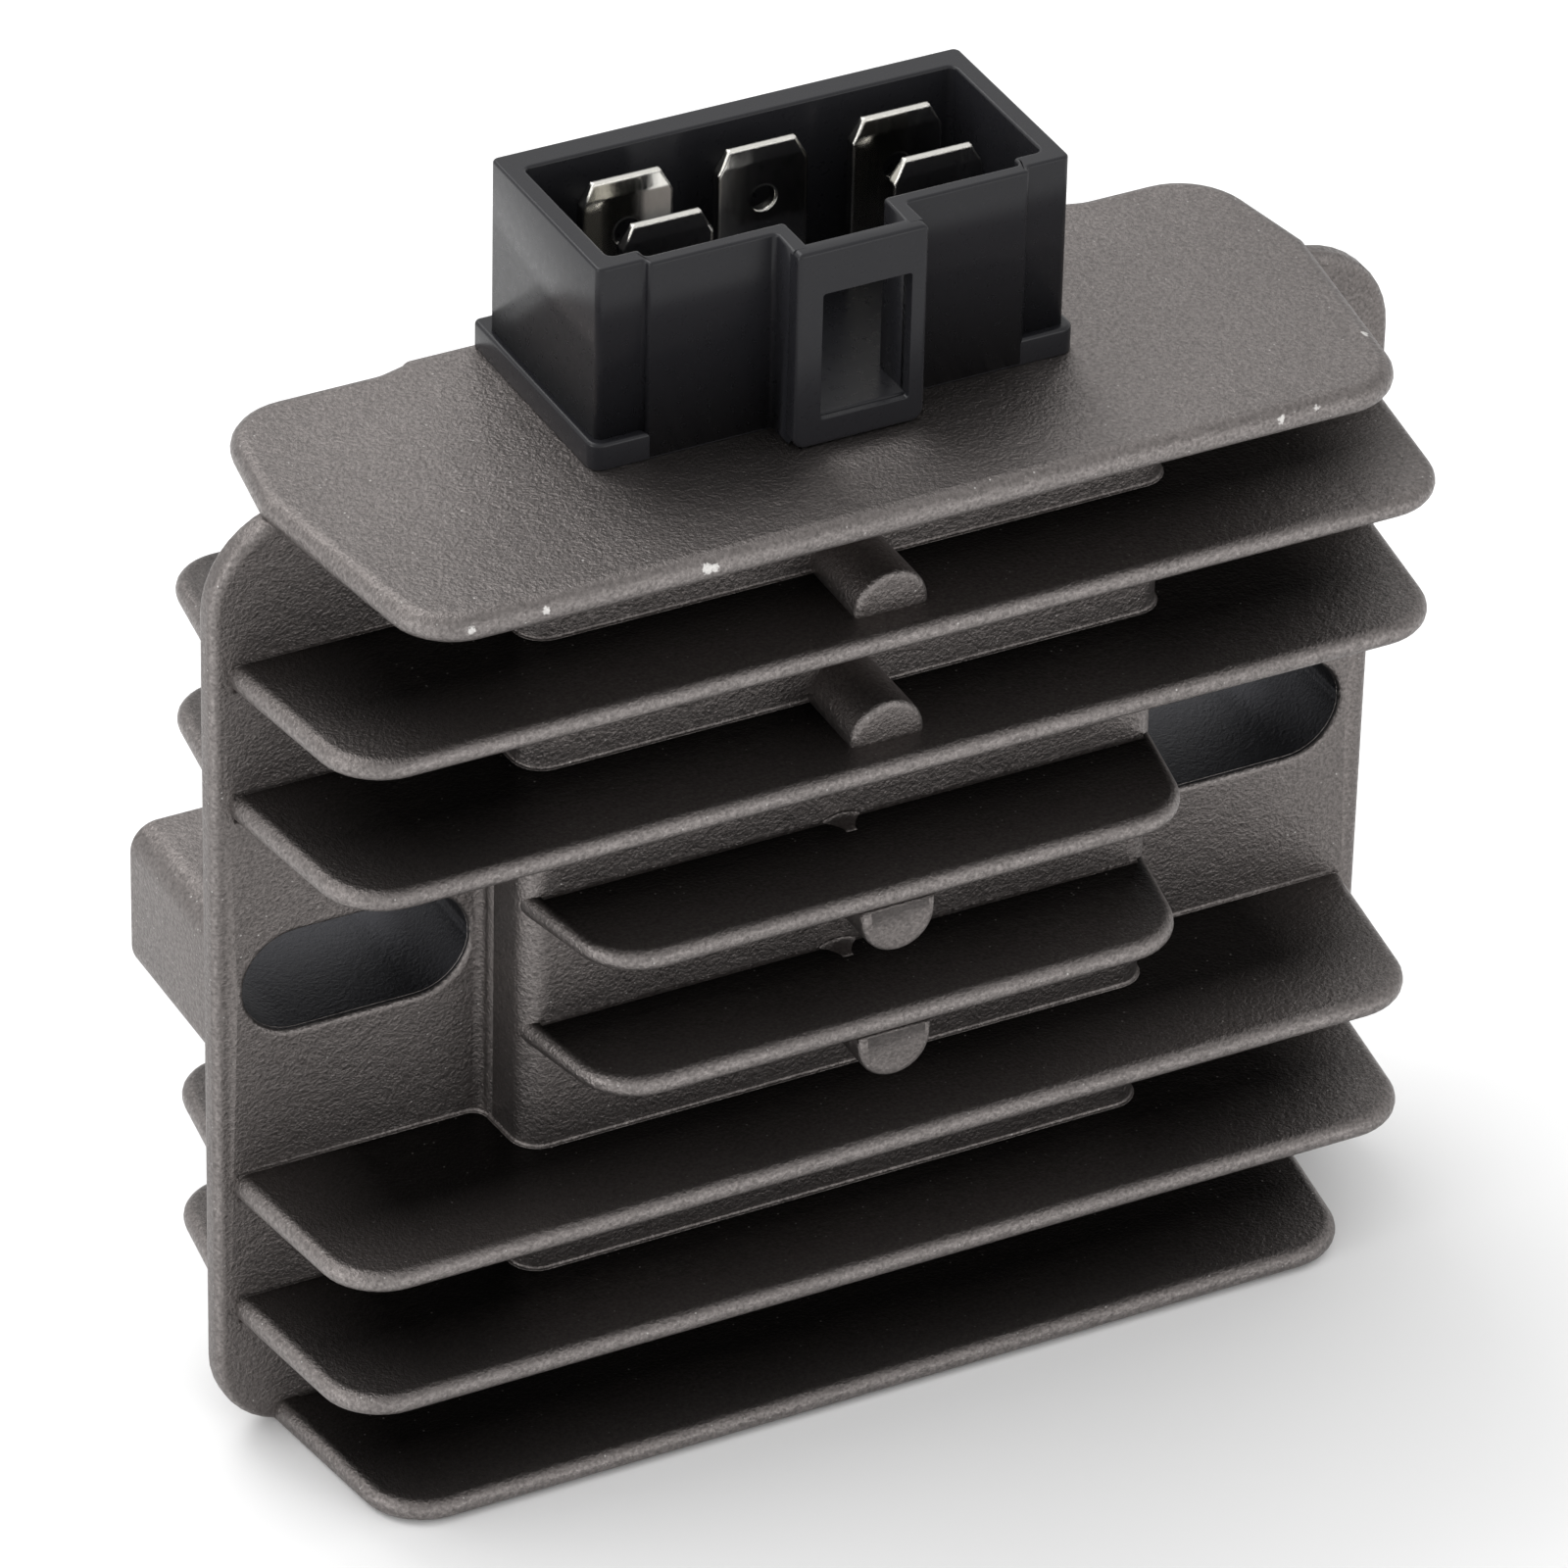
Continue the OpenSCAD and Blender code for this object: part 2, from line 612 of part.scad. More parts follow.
gate_transistor(2);  // gate_transistor_2
potting_resin();
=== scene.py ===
"""Looks of a voltage regulator rectifier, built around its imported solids."""

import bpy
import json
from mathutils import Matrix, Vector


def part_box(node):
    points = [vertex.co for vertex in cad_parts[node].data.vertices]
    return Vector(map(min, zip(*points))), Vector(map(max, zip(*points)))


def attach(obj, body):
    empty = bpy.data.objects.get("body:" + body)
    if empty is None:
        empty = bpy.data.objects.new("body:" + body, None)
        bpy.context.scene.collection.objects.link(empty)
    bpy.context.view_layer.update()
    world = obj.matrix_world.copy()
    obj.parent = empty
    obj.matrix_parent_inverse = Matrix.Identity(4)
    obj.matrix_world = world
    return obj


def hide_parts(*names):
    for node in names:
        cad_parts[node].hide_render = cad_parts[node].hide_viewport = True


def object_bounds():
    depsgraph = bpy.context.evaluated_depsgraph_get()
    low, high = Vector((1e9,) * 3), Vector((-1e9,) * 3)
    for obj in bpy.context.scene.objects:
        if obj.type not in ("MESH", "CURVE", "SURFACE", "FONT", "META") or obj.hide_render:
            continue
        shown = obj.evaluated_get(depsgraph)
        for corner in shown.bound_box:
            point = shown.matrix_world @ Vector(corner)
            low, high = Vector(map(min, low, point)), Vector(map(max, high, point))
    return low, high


bl_info = {
    "name": "Voltage regulator rectifier",
    "version": (1, 0, 0),
    "blender": (4, 5, 0),
    "location": "View3D > Sidebar > Regulator",
    "description": "Finned casting, black connector, tinned blades, their finishes and a studio",
    "category": "Object",
}

import json
import math

import bmesh
import bpy
import numpy as np
from mathutils import Matrix, Vector

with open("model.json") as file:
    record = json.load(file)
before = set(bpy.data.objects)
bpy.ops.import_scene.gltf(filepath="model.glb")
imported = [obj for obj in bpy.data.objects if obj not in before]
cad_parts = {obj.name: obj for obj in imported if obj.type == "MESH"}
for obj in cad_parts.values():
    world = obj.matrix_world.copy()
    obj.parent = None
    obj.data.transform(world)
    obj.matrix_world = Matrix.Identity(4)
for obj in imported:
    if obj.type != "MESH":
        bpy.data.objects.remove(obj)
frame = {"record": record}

CAD_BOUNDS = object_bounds()
MM = 0.001
SINK_LOW, SINK_HIGH = (np.array(corner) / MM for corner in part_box("heat_sink"))
# Half the width of the plate, and the levels of the casting's foot and of the plate's, in mm
HALF_PLATE = (SINK_HIGH[0] - SINK_LOW[0]) / 2
FOOT = SINK_LOW[2] - SINK_HIGH[2]
PLATE_FOOT = FOOT + 0.05
# A face stays flat this far past a rounded edge, so that it is shaded flat too, mm
HOLD = 0.12
# Faces that would share a plane are this far apart, so that one hides the other, mm
CLEAR = 0.03
# The fins' roots end this far short of the plate's other face, with corners of this radius, mm
SUNK = 0.2
ROOT_R = 1.0
# Radius at which the fillets turn from the plate to the block or the pot, mm
PATH_R = 1.2
# Rounding of an edge that looks sharp, mm
SHARP = 0.05
# Knocks on the flange: X, Y and Z from the casting's origin and the radius, in mm
CHIPS = ((-16.4, -17.1, -0.7, 0.35), (-15.9, -17.1, -0.75, 0.26), (-27.4, -17.1, -0.8, 0.25),
         (-32.4, -17.1, -0.8, 0.25), (24.0, -17.1, -0.65, 0.23), (26.6, -16.9, -0.6, 0.23),
         (29.5, -16.3, -0.6, 0.27), (30.9, -15.6, -0.6, 0.22), (33.4, -11.2, 0.0, 0.22))
# Each lamp's name, place in metres, power in watts, and width and height in metres
LAMPS = (("back light", (-0.1, 0.5, 0.74), 2.9, 0.5, 0.5),
         ("left light", (-0.5, 0.22, 0.72), 1.45, 0.4, 0.4),
         ("side light", (-0.88, -0.1, 0.2), 1.8, 0.4, 0.4),
         ("front light", (0.35, -0.8, 0.14), 0.9, 0.5, 0.3))
LAMPS_AIM = (0.0, -0.012, 0.0)


def number(name, description, value, **kind):
    """A property for a number."""
    return bpy.props.FloatProperty(name=name, description=description, default=value, **kind)


def mm(name, description, millimetres):
    """A property for a length, shown in scene units, whose default is given in millimetres."""
    return number(name, description, millimetres * MM, unit="LENGTH", precision=5)


def colour(name, description, hex_value):
    """A colour property whose default is an sRGB hex value."""
    return bpy.props.FloatVectorProperty(
        name=name, description=description, subtype="COLOR", size=3, min=0, max=1,
        default=linear(hex_value)[:3])


def linear(hex_value):
    """Linear RGBA of an sRGB hex value: each channel through the sRGB curve."""
    channels = [int(hex_value[i:i + 2], 16) / 255 for i in (1, 3, 5)]
    return [c / 12.92 if c <= 0.04045 else ((c + 0.055) / 1.055) ** 2.4 for c in channels] + [1.0]


class CastingSizes(bpy.types.PropertyGroup):
    """Sizes of the finned casting, from the plate's front face and the flange's top."""
    mount_depth: mm("Mount depth", "Plate's face to the mounting face", 13.3)
    plate_t: mm("Plate", "Thickness of the plate", 2.0)
    plate_top_r: mm("Upper corner", "Radius of the plate's upper corners", 6.8)
    plate_low_r: mm("Lower corner", "Radius of the plate's lower corners", 6.0)
    plate_edge_r: mm("Plate edge", "Rounding of the plate's edges", 0.6)
    first_fin: mm("First fin", "Flange's top to the first fin's top", 11.1)
    fin_pitch: mm("Fin pitch", "Pitch of the fins", 9.75)
    fin_half_w: mm("Full fins", "Half width of the full fins", 41.1)
    short_half_w: mm("Short fins", "Half width of the short fins", 23.0)
    fin_depth: mm("Fin depth", "Depth of the front fins", 14.15)
    rear_depth: mm("Rear fins", "Plate's face to the rear fins' edges", 13.2)
    fin_root_t: mm("Fin root", "Thickness of a fin at its root", 2.0)
    fin_tip_t: mm("Fin tip", "Thickness of a fin at its tip", 1.5)
    fin_corner_r: mm("Fin corner", "Radius of the fins' front corners", 4.5)
    rear_corner_r: mm("Rear corner", "Radius of the fins' back corners", 3.8)
    fillet: mm("Fillet", "Fillet at the roots of the fins", 0.2)
    flange_half_w: mm("Flange", "Half width of the top flange", 37.1)
    flange_front: mm("Flange front", "Flange in front of the plate's face", 17.2)
    flange_rear: mm("Flange rear", "Flange behind the plate's face", 11.5)
    flange_corner_r: mm("Flange corner", "Radius of the flange's back corners", 5.0)
    flange_t: mm("Flange metal", "Thickness of the flange", 2.0)
    flange_x: mm("Flange shift", "Shift of the flange along X", -1.1)
    low_half_w: mm("Lowest fin", "Half width of the lowest fin", 37.6)
    low_depth: mm("Lowest depth", "Depth of the lowest fin", 14.4)
    low_x: mm("Lowest shift", "Shift of the lowest fin along X", -0.7)
    block_depth: mm("Block depth", "Block's face in front of the plate's", 5.6)
    block_half_w: mm("Block", "Half width of the block at the plate", 23.3)
    block_draft: mm("Block draft", "Lean of the block's sides", 0.5)
    block_r: mm("Block corner", "Radius of the block's upright corners", 1.9)
    pot_half_w: mm("Pot", "Half width of the pot", 23.6)
    pot_depth: mm("Pot depth", "Plate's face to the pot's rim", 12.2)
    pot_wall: mm("Pot wall", "Thickness of the pot's walls", 2.6)
    pot_r: mm("Pot corner", "Radius of the pot's inside corners", 2.5)
    slot_drop: mm("Slot drop", "Flange's top down to the slots' axis", 36.2)
    slot_spacing: mm("Slot spacing", "Distance between the slots", 64.1)
    slot_len: mm("Slot length", "Length of a slot", 16.0)
    slot_w: mm("Slot width", "Width of a slot", 7.6)
    ear_h: mm("Ear boss", "Height of the boss behind each ear", 11.2)
    ear_r: mm("Ear boss corner", "Radius of the ear boss's corners", 2.0)
    pad_r: mm("Pad radius", "Radius of the ejector pads", 2.6)
    pad_len: mm("Pad length", "Length of the upper pads", 6.1)
    pad_x: mm("Pad shift", "Shift of the pads along X", -0.4)
    pad_hang: mm("Pad hang", "Hanging pads' centres below their fin", 0.7)
    lean: number("Lean", "Lean of the fins' ends by their depth", 0.15)


class HousingSizes(bpy.types.PropertyGroup):
    """Sizes of the connector housing, from the plate's front face and the flange's top."""
    x: mm("Shift", "Shift of the housing along X", -1.4)
    width: mm("Width", "Width of the housing", 33.0)
    back: mm("Back", "Back face behind the plate's face", 10.5)
    post: mm("Posts", "Corner posts in front of the plate's face", 4.7)
    post_w: mm("Post width", "Width of a corner post", 3.2)
    step: mm("Step", "Front wall in front of the posts", 0.6)
    height: mm("Height", "Height above the flange", 14.15)
    end_wall: mm("End wall", "Thickness of the end walls", 1.35)
    back_wall: mm("Back wall", "Thickness of the back wall", 2.0)
    front_wall: mm("Front wall", "Thickness of the front wall", 1.05)
    floor: mm("Floor", "Socket's floor above the flange", 2.0)
    skirt: mm("Skirt", "Height of the skirt round the foot", 1.9)
    skirt_out: mm("Skirt ends", "Reach of the skirt at the ends", 0.55)
    skirt_back: mm("Skirt back", "Reach of the skirt at the back", 1.3)
    latch_w: mm("Latch box", "Width of the latch box", 9.1)
    latch_front: mm("Latch front", "Front of the latch box", 8.4)
    latch_wall: mm("Latch wall", "Thickness of the latch box's front wall", 1.2)
    latch_bay: mm("Latch bay", "Width inside the latch box", 6.9)
    latch_r: mm("Latch corner", "Radius of the latch box's lower corners", 0.9)
    window_x: mm("Window shift", "Shift of the window along X", 0.35)
    window_w: mm("Window width", "Width of the window", 6.2)
    window_low: mm("Window foot", "Window's foot above the flange", 1.9)
    window_h: mm("Window height", "Height of the window", 9.05)
    rim_r: mm("Rim rounding", "Rounding of the walls' upper edges", 0.2)
    corner_r: mm("Corner rounding", "Rounding of the upright corners", 0.32)


class FinishColours(bpy.types.PropertyGroup):
    """Colours of the finishes and of the studio."""
    casting: colour("Casting", "Blasted aluminium casting", "#706B69")
    # Lighter colour on the crowns of rounded edges: rubbed metal, and a painted highlight
    rubbed_edge_and_highlight: colour("Casting edge", "Casting where its edges are rubbed", "#8C8785")
    # Painted shade: a dark colour for the level faces deep between the fins
    painted_fin_shade: colour("Painted fin shade", "Casting skin deep between the fins", "#211F1E")
    # Painted shade: the slots' walls are coloured darker than the rest of the casting
    cored: colour("Slot walls", "Casting skin on the slots' walls", "#3A3A3D")
    # Bright metal for the knocks along the flange, and for painted glints on the grain
    chips_and_glints: colour("Chips and glints", "Bright metal in the chips along the flange", "#E9E7E4")
    moulding: colour("Moulding", "Black nylon of the housing", "#1F1F22")
    tin: colour("Tin", "Tin plate on the blades", "#D8D6D0")
    resin: colour("Resin", "Potting resin", "#1C1C1E")
    floor: colour("Floor", "Studio floor and backdrop", "#F4F4F4")


class StudioSettings(bpy.types.PropertyGroup):
    """The camera's place, worked out from the photograph's edges."""
    azimuth: number("Azimuth", "Turn of the camera to the left", -28.01)
    elevation: number("Elevation", "Height angle of the camera", 33.64)
    roll: number("Roll", "Turn of the picture about the line of sight", 1.44)
    aim: bpy.props.FloatVectorProperty(
        name="Aim", description="Point in the middle of the picture", subtype="XYZ", unit="LENGTH",
        default=(-2.007 * MM, -14.047 * MM, 5.651 * MM))
    distance: mm("Distance", "Camera to the aim point", 684.94)
    lens: number("Lens", "Focal length for a 36 mm wide sensor", 243.73)


class Skins:
    """Collects closed skins of points in mm, from the plate's face and the flange's top."""
    # What a point tells the material: rubbed edge with a painted highlight, slot's wall with
    # painted shade, and face between the fins with painted shade
    MARKS = ("wear", "cored", "finned")

    def __init__(self):
        self.points, self.faces, self.count = [], [], 0
        self.marks = {key: [] for key in self.MARKS}

    def add(self, rings, closed=False, **marks):
        """Joins rings of points (S, N, 3) into a skin: closed on itself, or with its ends capped.

        A mark is one number for the skin, one for each ring, or a column of one for each point.
        """
        s, n = rings.shape[:2]
        index = self.count + np.arange(s * n).reshape(s, n)
        low = index if closed else index[:-1]
        high = np.roll(index, -1, 0) if closed else index[1:]
        quads = np.stack([low, np.roll(low, -1, 1), np.roll(high, -1, 1), high], -1)
        self.faces += quads.reshape(-1, 4).tolist()
        if not closed:
            self.faces += [index[0][::-1].tolist(), index[-1].tolist()]
        self.points.append(rings.reshape(-1, 3))
        for key, kept in self.marks.items():
            value = np.asarray(marks.get(key, 0.0), float)
            kept.append(np.broadcast_to(value, (n, s)).T.reshape(-1))
        self.count += s * n

    def build(self, name, made):
        """Makes the object, in metres and in the frame of the solids, with outward normals."""
        points = np.concatenate(self.points) + origin_of_casting()
        mesh = bpy.data.meshes.new(name)
        mesh.from_pydata((points * MM).tolist(), [], self.faces)
        for key, values in self.marks.items():
            mesh.attributes.new(key, "FLOAT", "POINT").data.foreach_set(
                "value", np.concatenate(values).astype(np.float32))
        work = bmesh.new()
        work.from_mesh(mesh)
        bmesh.ops.recalc_face_normals(work, faces=work.faces)
        work.to_mesh(mesh)
        work.free()
        mesh.polygons.foreach_set("use_smooth", np.ones(len(mesh.polygons), bool))
        mesh.materials.append(made)
        return placed(name, mesh)


def placed(name, data):
    """A new object of the data, in the scene."""
    piece = bpy.data.objects.new(name, data)
    bpy.context.scene.collection.objects.link(piece)
    return piece


def origin_of_casting():
    """Place of the plate's face and the flange's top in the frame of the solids, mm."""
    return np.array([0.0, SINK_HIGH[1] - size("mount_depth"), SINK_HIGH[2]])


def size(*names, group="regulator_casting"):
    """Sizes of the casting in millimetres: a list of them, or one number for one name."""
    found = [getattr(getattr(bpy.context.scene, group), name) / MM for name in names]
    return found if len(found) > 1 else found[0]


def housing(*names):
    """Sizes of the connector housing in millimetres."""
    return size(*names, group="regulator_housing")


def leaned(half_w, depth):
    """Half width of a fin at a depth: its ends lean in evenly from the plate."""
    return half_w - bpy.context.scene.regulator_casting.lean * depth


def rounded(corners, radii, closed=True, steps=6):
    """Outline whose corners are arcs tangent to both sides, and its normals to the right.

    At a corner that turns by an angle a, the arc of radius r starts r tan(a / 2) before it; the
    side and its normal turn evenly along the arc. Corners run anticlockwise, so normals point out.
    """
    p = np.asarray(corners, float)
    r = np.broadcast_to(np.asarray(radii, float), len(p))
    before = p - np.roll(p, 1, 0)
    after = np.roll(p, -1, 0) - p
    if not closed:
        before[0], after[-1] = after[0], before[-1]
    before /= np.linalg.norm(before, axis=1)[:, None]
    after /= np.linalg.norm(after, axis=1)[:, None]
    turn = np.arctan2(before[:, 0] * after[:, 1] - before[:, 1] * after[:, 0],
                      (before * after).sum(1))
    start = p - before * (r * np.tan(np.abs(turn) / 2))[:, None]
    centre = start + np.stack([-before[:, 1], before[:, 0]], 1) * (np.sign(turn) * r)[:, None]
    angle = turn[:, None] * np.linspace(0, 1, steps + 1)
    cos, sin = np.cos(angle), np.sin(angle)

    def turned(v):
        x, y = v[:, :1], v[:, 1:]
        return np.stack([x * cos - y * sin, x * sin + y * cos], -1)

    points = centre[:, None] + turned(start - centre)
    heading = turned(before)
    normals = np.stack([heading[..., 1], -heading[..., 0]], -1)
    return points.reshape(-1, 2), normals.reshape(-1, 2)


def box_outline(low, high, radii, steps=6):
    """Rectangle with rounded corners, from the lower left corner round."""
    (x0, y0), (x1, y1) = low, high
    return rounded([(x0, y0), (x1, y0), (x1, y1), (x0, y1)], radii, steps=steps)


def end_outline(side, inner, outer, low, high, radii):
    """Outline of one end of the casting in the XZ plane, from its inner to its outer X.

    The radii are those of its lower, its upper and its two inner corners.
    """
    low_r, high_r, inner_r = radii
    radii = [inner_r, low_r, high_r, inner_r]
    if side < 0:
        inner, outer, radii = -outer, -inner, [low_r, inner_r, inner_r, high_r]
    return box_outline((inner, low), (outer, high), radii, steps=10)


def sided(side, corners, radii, **kind):
    """Rounded line whose corners are given for the right side, mirrored for the left."""
    corners, radii = np.array(corners), np.array(radii)
    if side < 0:
        corners, radii = corners[::-1] * (-1, 1), radii[::-1]
    return rounded(corners, radii, **kind)


def mirrored(half, shift):
    """Corners of both halves of a line, of its right half, moved along X."""
    return np.array(half + [(-x, y) for x, y in half[::-1]]) + (shift, 0)


def quarter(steps=4):
    """Quarter circle of radius 1: at the angle a it is 1 - cos a from one side and 1 - sin a
    from the other, and its wear is sin 2a, the most in its middle."""
    a = np.linspace(0, math.pi / 2, steps + 1)
    return 1 - np.cos(a), 1 - np.sin(a), np.sin(2 * a)


def edge_profile(low, high, low_r, high_r):
    """Inset, level and wear up a wall whose lower and upper edges are quarter circles."""
    curve, rise, rub = quarter()
    inset = np.concatenate([[low_r + HOLD], low_r * curve[::-1], high_r * curve, [high_r + HOLD]])
    level = np.concatenate([[low], low + low_r * rise[::-1], high - high_r * rise, [high]])
    return inset, level, np.concatenate([[0], rub[::-1], rub, [0]])


def at_level(plan, level):
    """Points of a plan in space, each at its level."""
    return np.concatenate([plan, np.broadcast_to(level, plan.shape[:-1])[..., None]], -1)


def rings_of(outline, inset, level):
    """Rings of the outline, moved in by each inset, at each level."""
    points, normals = outline
    plan = points[None] - normals[None] * np.asarray(inset)[:, None, None]
    return at_level(plan, np.asarray(level)[:, None])


def upright(rings):
    """Stands rings that were drawn with Z as their second axis and Y as their level."""
    return rings[..., [0, 2, 1]]


def fin(skins, outline, top, root_t, tip_t, root_y, tip_y, finned=1.0):
    """A fin with a full round edge: its half thickness h shrinks evenly from root_y to tip_y.

    Ring k lies at the angle a from -90 to 90 degrees: it is moved in by 1 - cos a times the half
    thickness at the tip, and raised by h sin a from the fin's middle.
    """
    a = np.linspace(-math.pi / 2, math.pi / 2, 9)
    cos = np.concatenate([[0], np.cos(a), [0]])
    sin = np.concatenate([[-1], np.sin(a), [1]])
    hold = np.zeros(len(cos))
    hold[[0, -1]] = HOLD
    points, normals = outline
    inset = (1 - cos) * (tip_t / 2) + hold
    plan = points[None] - normals[None] * inset[:, None, None]
    along = np.clip((plan[..., 1] - root_y) / (tip_y - root_y), 0, 1)
    half = (root_t + (tip_t - root_t) * along) / 2
    skins.add(at_level(plan, top - root_t / 2 + half * sin[:, None]), wear=cos ** 2, finned=finned)


def flange_outline():
    """Plan of the top flange: ends that lean in from the plate, and the pot's rim behind it."""
    half_w, shift, front, back = size("flange_half_w", "flange_x", "flange_front", "flange_rear")
    front_r, back_r, rim, pot = size("fin_corner_r", "flange_corner_r", "pot_depth", "pot_half_w")
    x0, x1 = leaned(half_w, front), leaned(half_w, back)
    # The ends are widest 1 mm behind the plate's face, and the rim narrows to its edge
    knee, knee_r, rim_r = 1.0, 1.8, 3.0
    rim_root, rim_edge = pot + 1.6, pot - 0.9
    corners = [(shift - x0, -front), (shift + x0, -front), (shift + half_w, knee),
               (shift + x1, back), (rim_root, back), (rim_edge, rim), (-rim_edge, rim),
               (-rim_root, back), (shift - x1, back), (shift - half_w, knee)]
    radii = [front_r, front_r, knee_r, back_r, rim_r, rim_r, rim_r, rim_r, back_r, knee_r]
    return rounded(corners, radii, steps=9)


def front_outline(half_w, root_y, front, shift=0.0):
    """Plan of a fin that only points forward, from inside the plate or the block."""
    x, r = leaned(half_w, front), size("fin_corner_r")
    corners = np.array([(-x, -front), (x, -front), (half_w, root_y), (-half_w, root_y)])
    return rounded(corners + (shift, 0), [r, r, ROOT_R, ROOT_R], steps=9)


def rear_outline(side):
    """Plan of a rear fin from the pot's side wall out to the plate's edge."""
    half_w, back, r = size("fin_half_w", "rear_depth", "rear_corner_r")
    pot, rim, plate = size("pot_half_w", "pot_depth", "plate_t")
    x, inside, beside = leaned(half_w, back - plate), pot - 1.7, pot + 0.9
    corners = [(inside, SUNK), (half_w, SUNK), (x, back), (beside, back), (inside, rim - 1.6)]
    return sided(side, corners, [ROOT_R, ROOT_R, r, ROOT_R, ROOT_R], steps=8)


def full_rear_outline(half_w, shift):
    """Plan of a rear fin that runs from one end of the plate to the other."""
    back, r, plate = size("rear_depth", "rear_corner_r", "plate_t")
    x = leaned(half_w, back - plate)
    corners = np.array([(-half_w, SUNK), (half_w, SUNK), (x, back), (-x, back)])
    return rounded(corners + (shift, 0), [ROOT_R, ROOT_R, r, r], steps=9)


def straight_path(half_w, y):
    """Line along the plate's or the block's face, from left to right."""
    return rounded([(-half_w, y), (half_w, y)], 0.0, closed=False)


def wall_path(half_w):
    """Line along the plate and round the block, seen from above, from left to right."""
    root, draft, depth, r = size("block_half_w", "block_draft", "block_depth", "block_r")
    face = root - draft
    corners = [(-half_w, 0), (-root, 0), (-face, -depth), (face, -depth), (root, 0), (half_w, 0)]
    return rounded(corners, [0, PATH_R, r, r, PATH_R, 0], closed=False)


def rear_path(side):
    """Line along the plate's back and the side of the pot, seen from above."""
    half_w, pot, plate, rim = size("fin_half_w", "pot_half_w", "plate_t", "pot_depth")
    corners = [(half_w - 0.6, plate), (pot, plate), (pot, rim - 1.0)]
    return sided(side, corners, [0, PATH_R, 0], closed=False)


def cove(skins, path, level, up, r):
    """Fillet between a wall and a fin: a concave quarter circle of radius r carried along a path.

    At the angle a it is r (1 - cos a) out from the wall and r (1 - sin a) above the fin. Its back
    lies inside the wall and the fin.
    """
    curve, rise, _ = quarter()
    in_wall, in_fin = -0.35, -0.3
    out = np.concatenate([r * curve, [r, in_wall, in_wall]])
    above = np.concatenate([r * rise, [in_fin, in_fin, r]])
    points, normals = path
    plan = points[:, None] + normals[:, None] * out[None, :, None]
    skins.add(at_level(plan, np.broadcast_to(level, len(points))[:, None] + up * above[None]))


def fin_coves(skins, path, top, under=True):
    """Fillets over and under a fin, which follow the slope of its faces."""
    root_t, tip_t, depth, plate = size("fin_root_t", "fin_tip_t", "fin_depth", "plate_t")
    slope, r = (root_t - tip_t) / 2 / depth, size("fillet")
    y = path[0][:, 1]
    away = np.where(y < 0, -y, np.maximum(y - plate, 0))
    cove(skins, path, top - slope * away, 1, r)
    if under:
        cove(skins, path, top - root_t + slope * away, -1, r)


def ring_skin(skins, outer, inner, profile, cored=False):
    """A wall round a hole: rings up the outer side, over the rim and down the inner side.

    The profile's rows are those of rim_profile.
    """
    rings = []
    for which, inset, level, _, _ in profile:
        points, normals = (outer, inner)[which]
        rings.append(at_level(points + normals * (inset if which else -inset), level))
    skins.add(upright(np.array(rings)), closed=True, wear=np.array([row[3] for row in profile]),
              cored=np.array([float(row[4] and cored) for row in profile]))


def rim_profile(y0, y1, outer_r0, outer_r1, inner_r0, inner_r1):
    """Closed profile of a wall from level y0 to y1 with its four edges rounded.

    Each row is (which side, inset into the wall, level, wear, whether it lies inside the hole).
    """
    up = list(zip(*quarter()))
    rows = [(0, outer_r0 + HOLD, y0, 0, 0)]
    rows += [(0, outer_r0 * c, y0 + outer_r0 * d, w, 0) for c, d, w in up[::-1]]
    rows += [(0, outer_r1 * c, y1 - outer_r1 * d, w, 0) for c, d, w in up]
    rows += [(0, outer_r1 + HOLD, y1, 0, 0), (1, inner_r1 + HOLD, y1, 0, 0)]
    rows += [(1, inner_r1 * c, y1 - inner_r1 * d, w, c < 1e-9) for c, d, w in up[::-1]]
    rows += [(1, inner_r0 * c, y0 + inner_r0 * d, w, c < 1e-9) for c, d, w in up]
    return rows + [(1, inner_r0 + HOLD, y0, 0, 0)]


def slot_outline(side, shrink=0.0):
    """The slot in the XZ plane: a rectangle whose corner radius is half its width."""
    spacing, drop, long, wide = size("slot_spacing", "slot_drop", "slot_len", "slot_w")
    x, z, half_l, r = side * spacing / 2, -drop, long / 2 - shrink, wide / 2 - shrink
    return box_outline((x - half_l, z - r), (x + half_l, z + r), r, steps=10)


def plate_end(skins, side):
    """One end of the plate with its slot: a ring whose inner side lies hidden in the block."""
    low_r, top_r, edge, plate = size("plate_low_r", "plate_top_r", "plate_edge_r", "plate_t")
    seam, seam_r = size("pot_half_w") - 3.2, 0.8
    outer = end_outline(side, seam, HALF_PLATE, PLATE_FOOT, -size("flange_t") / 2,
                        (low_r, top_r, seam_r))
    profile = rim_profile(0.0, plate, edge, edge, 0.35, 0.2)
    ring_skin(skins, outer, slot_outline(side), profile, cored=True)


def plate_middle(skins):
    """The part of the plate between its ends that shows below the block."""
    half, thinner, edge, corner = size("pot_half_w") - 1.6, 0.004, 0.5, 0.7
    inset, level, _ = edge_profile(thinner, size("plate_t") - thinner, edge, edge)
    outline = box_outline((-half, PLATE_FOOT), (half, pot_low() + 3), corner)
    skins.add(upright(rings_of(outline, inset, level)))


def fin_top(i):
    """Level of the top of fin i, counted from the first below the flange."""
    return -size("first_fin") - i * size("fin_pitch")


def pot_low():
    """Level of the pot's lower face, flush with the under side of the last full fin."""
    return fin_top(5) - size("fin_root_t")


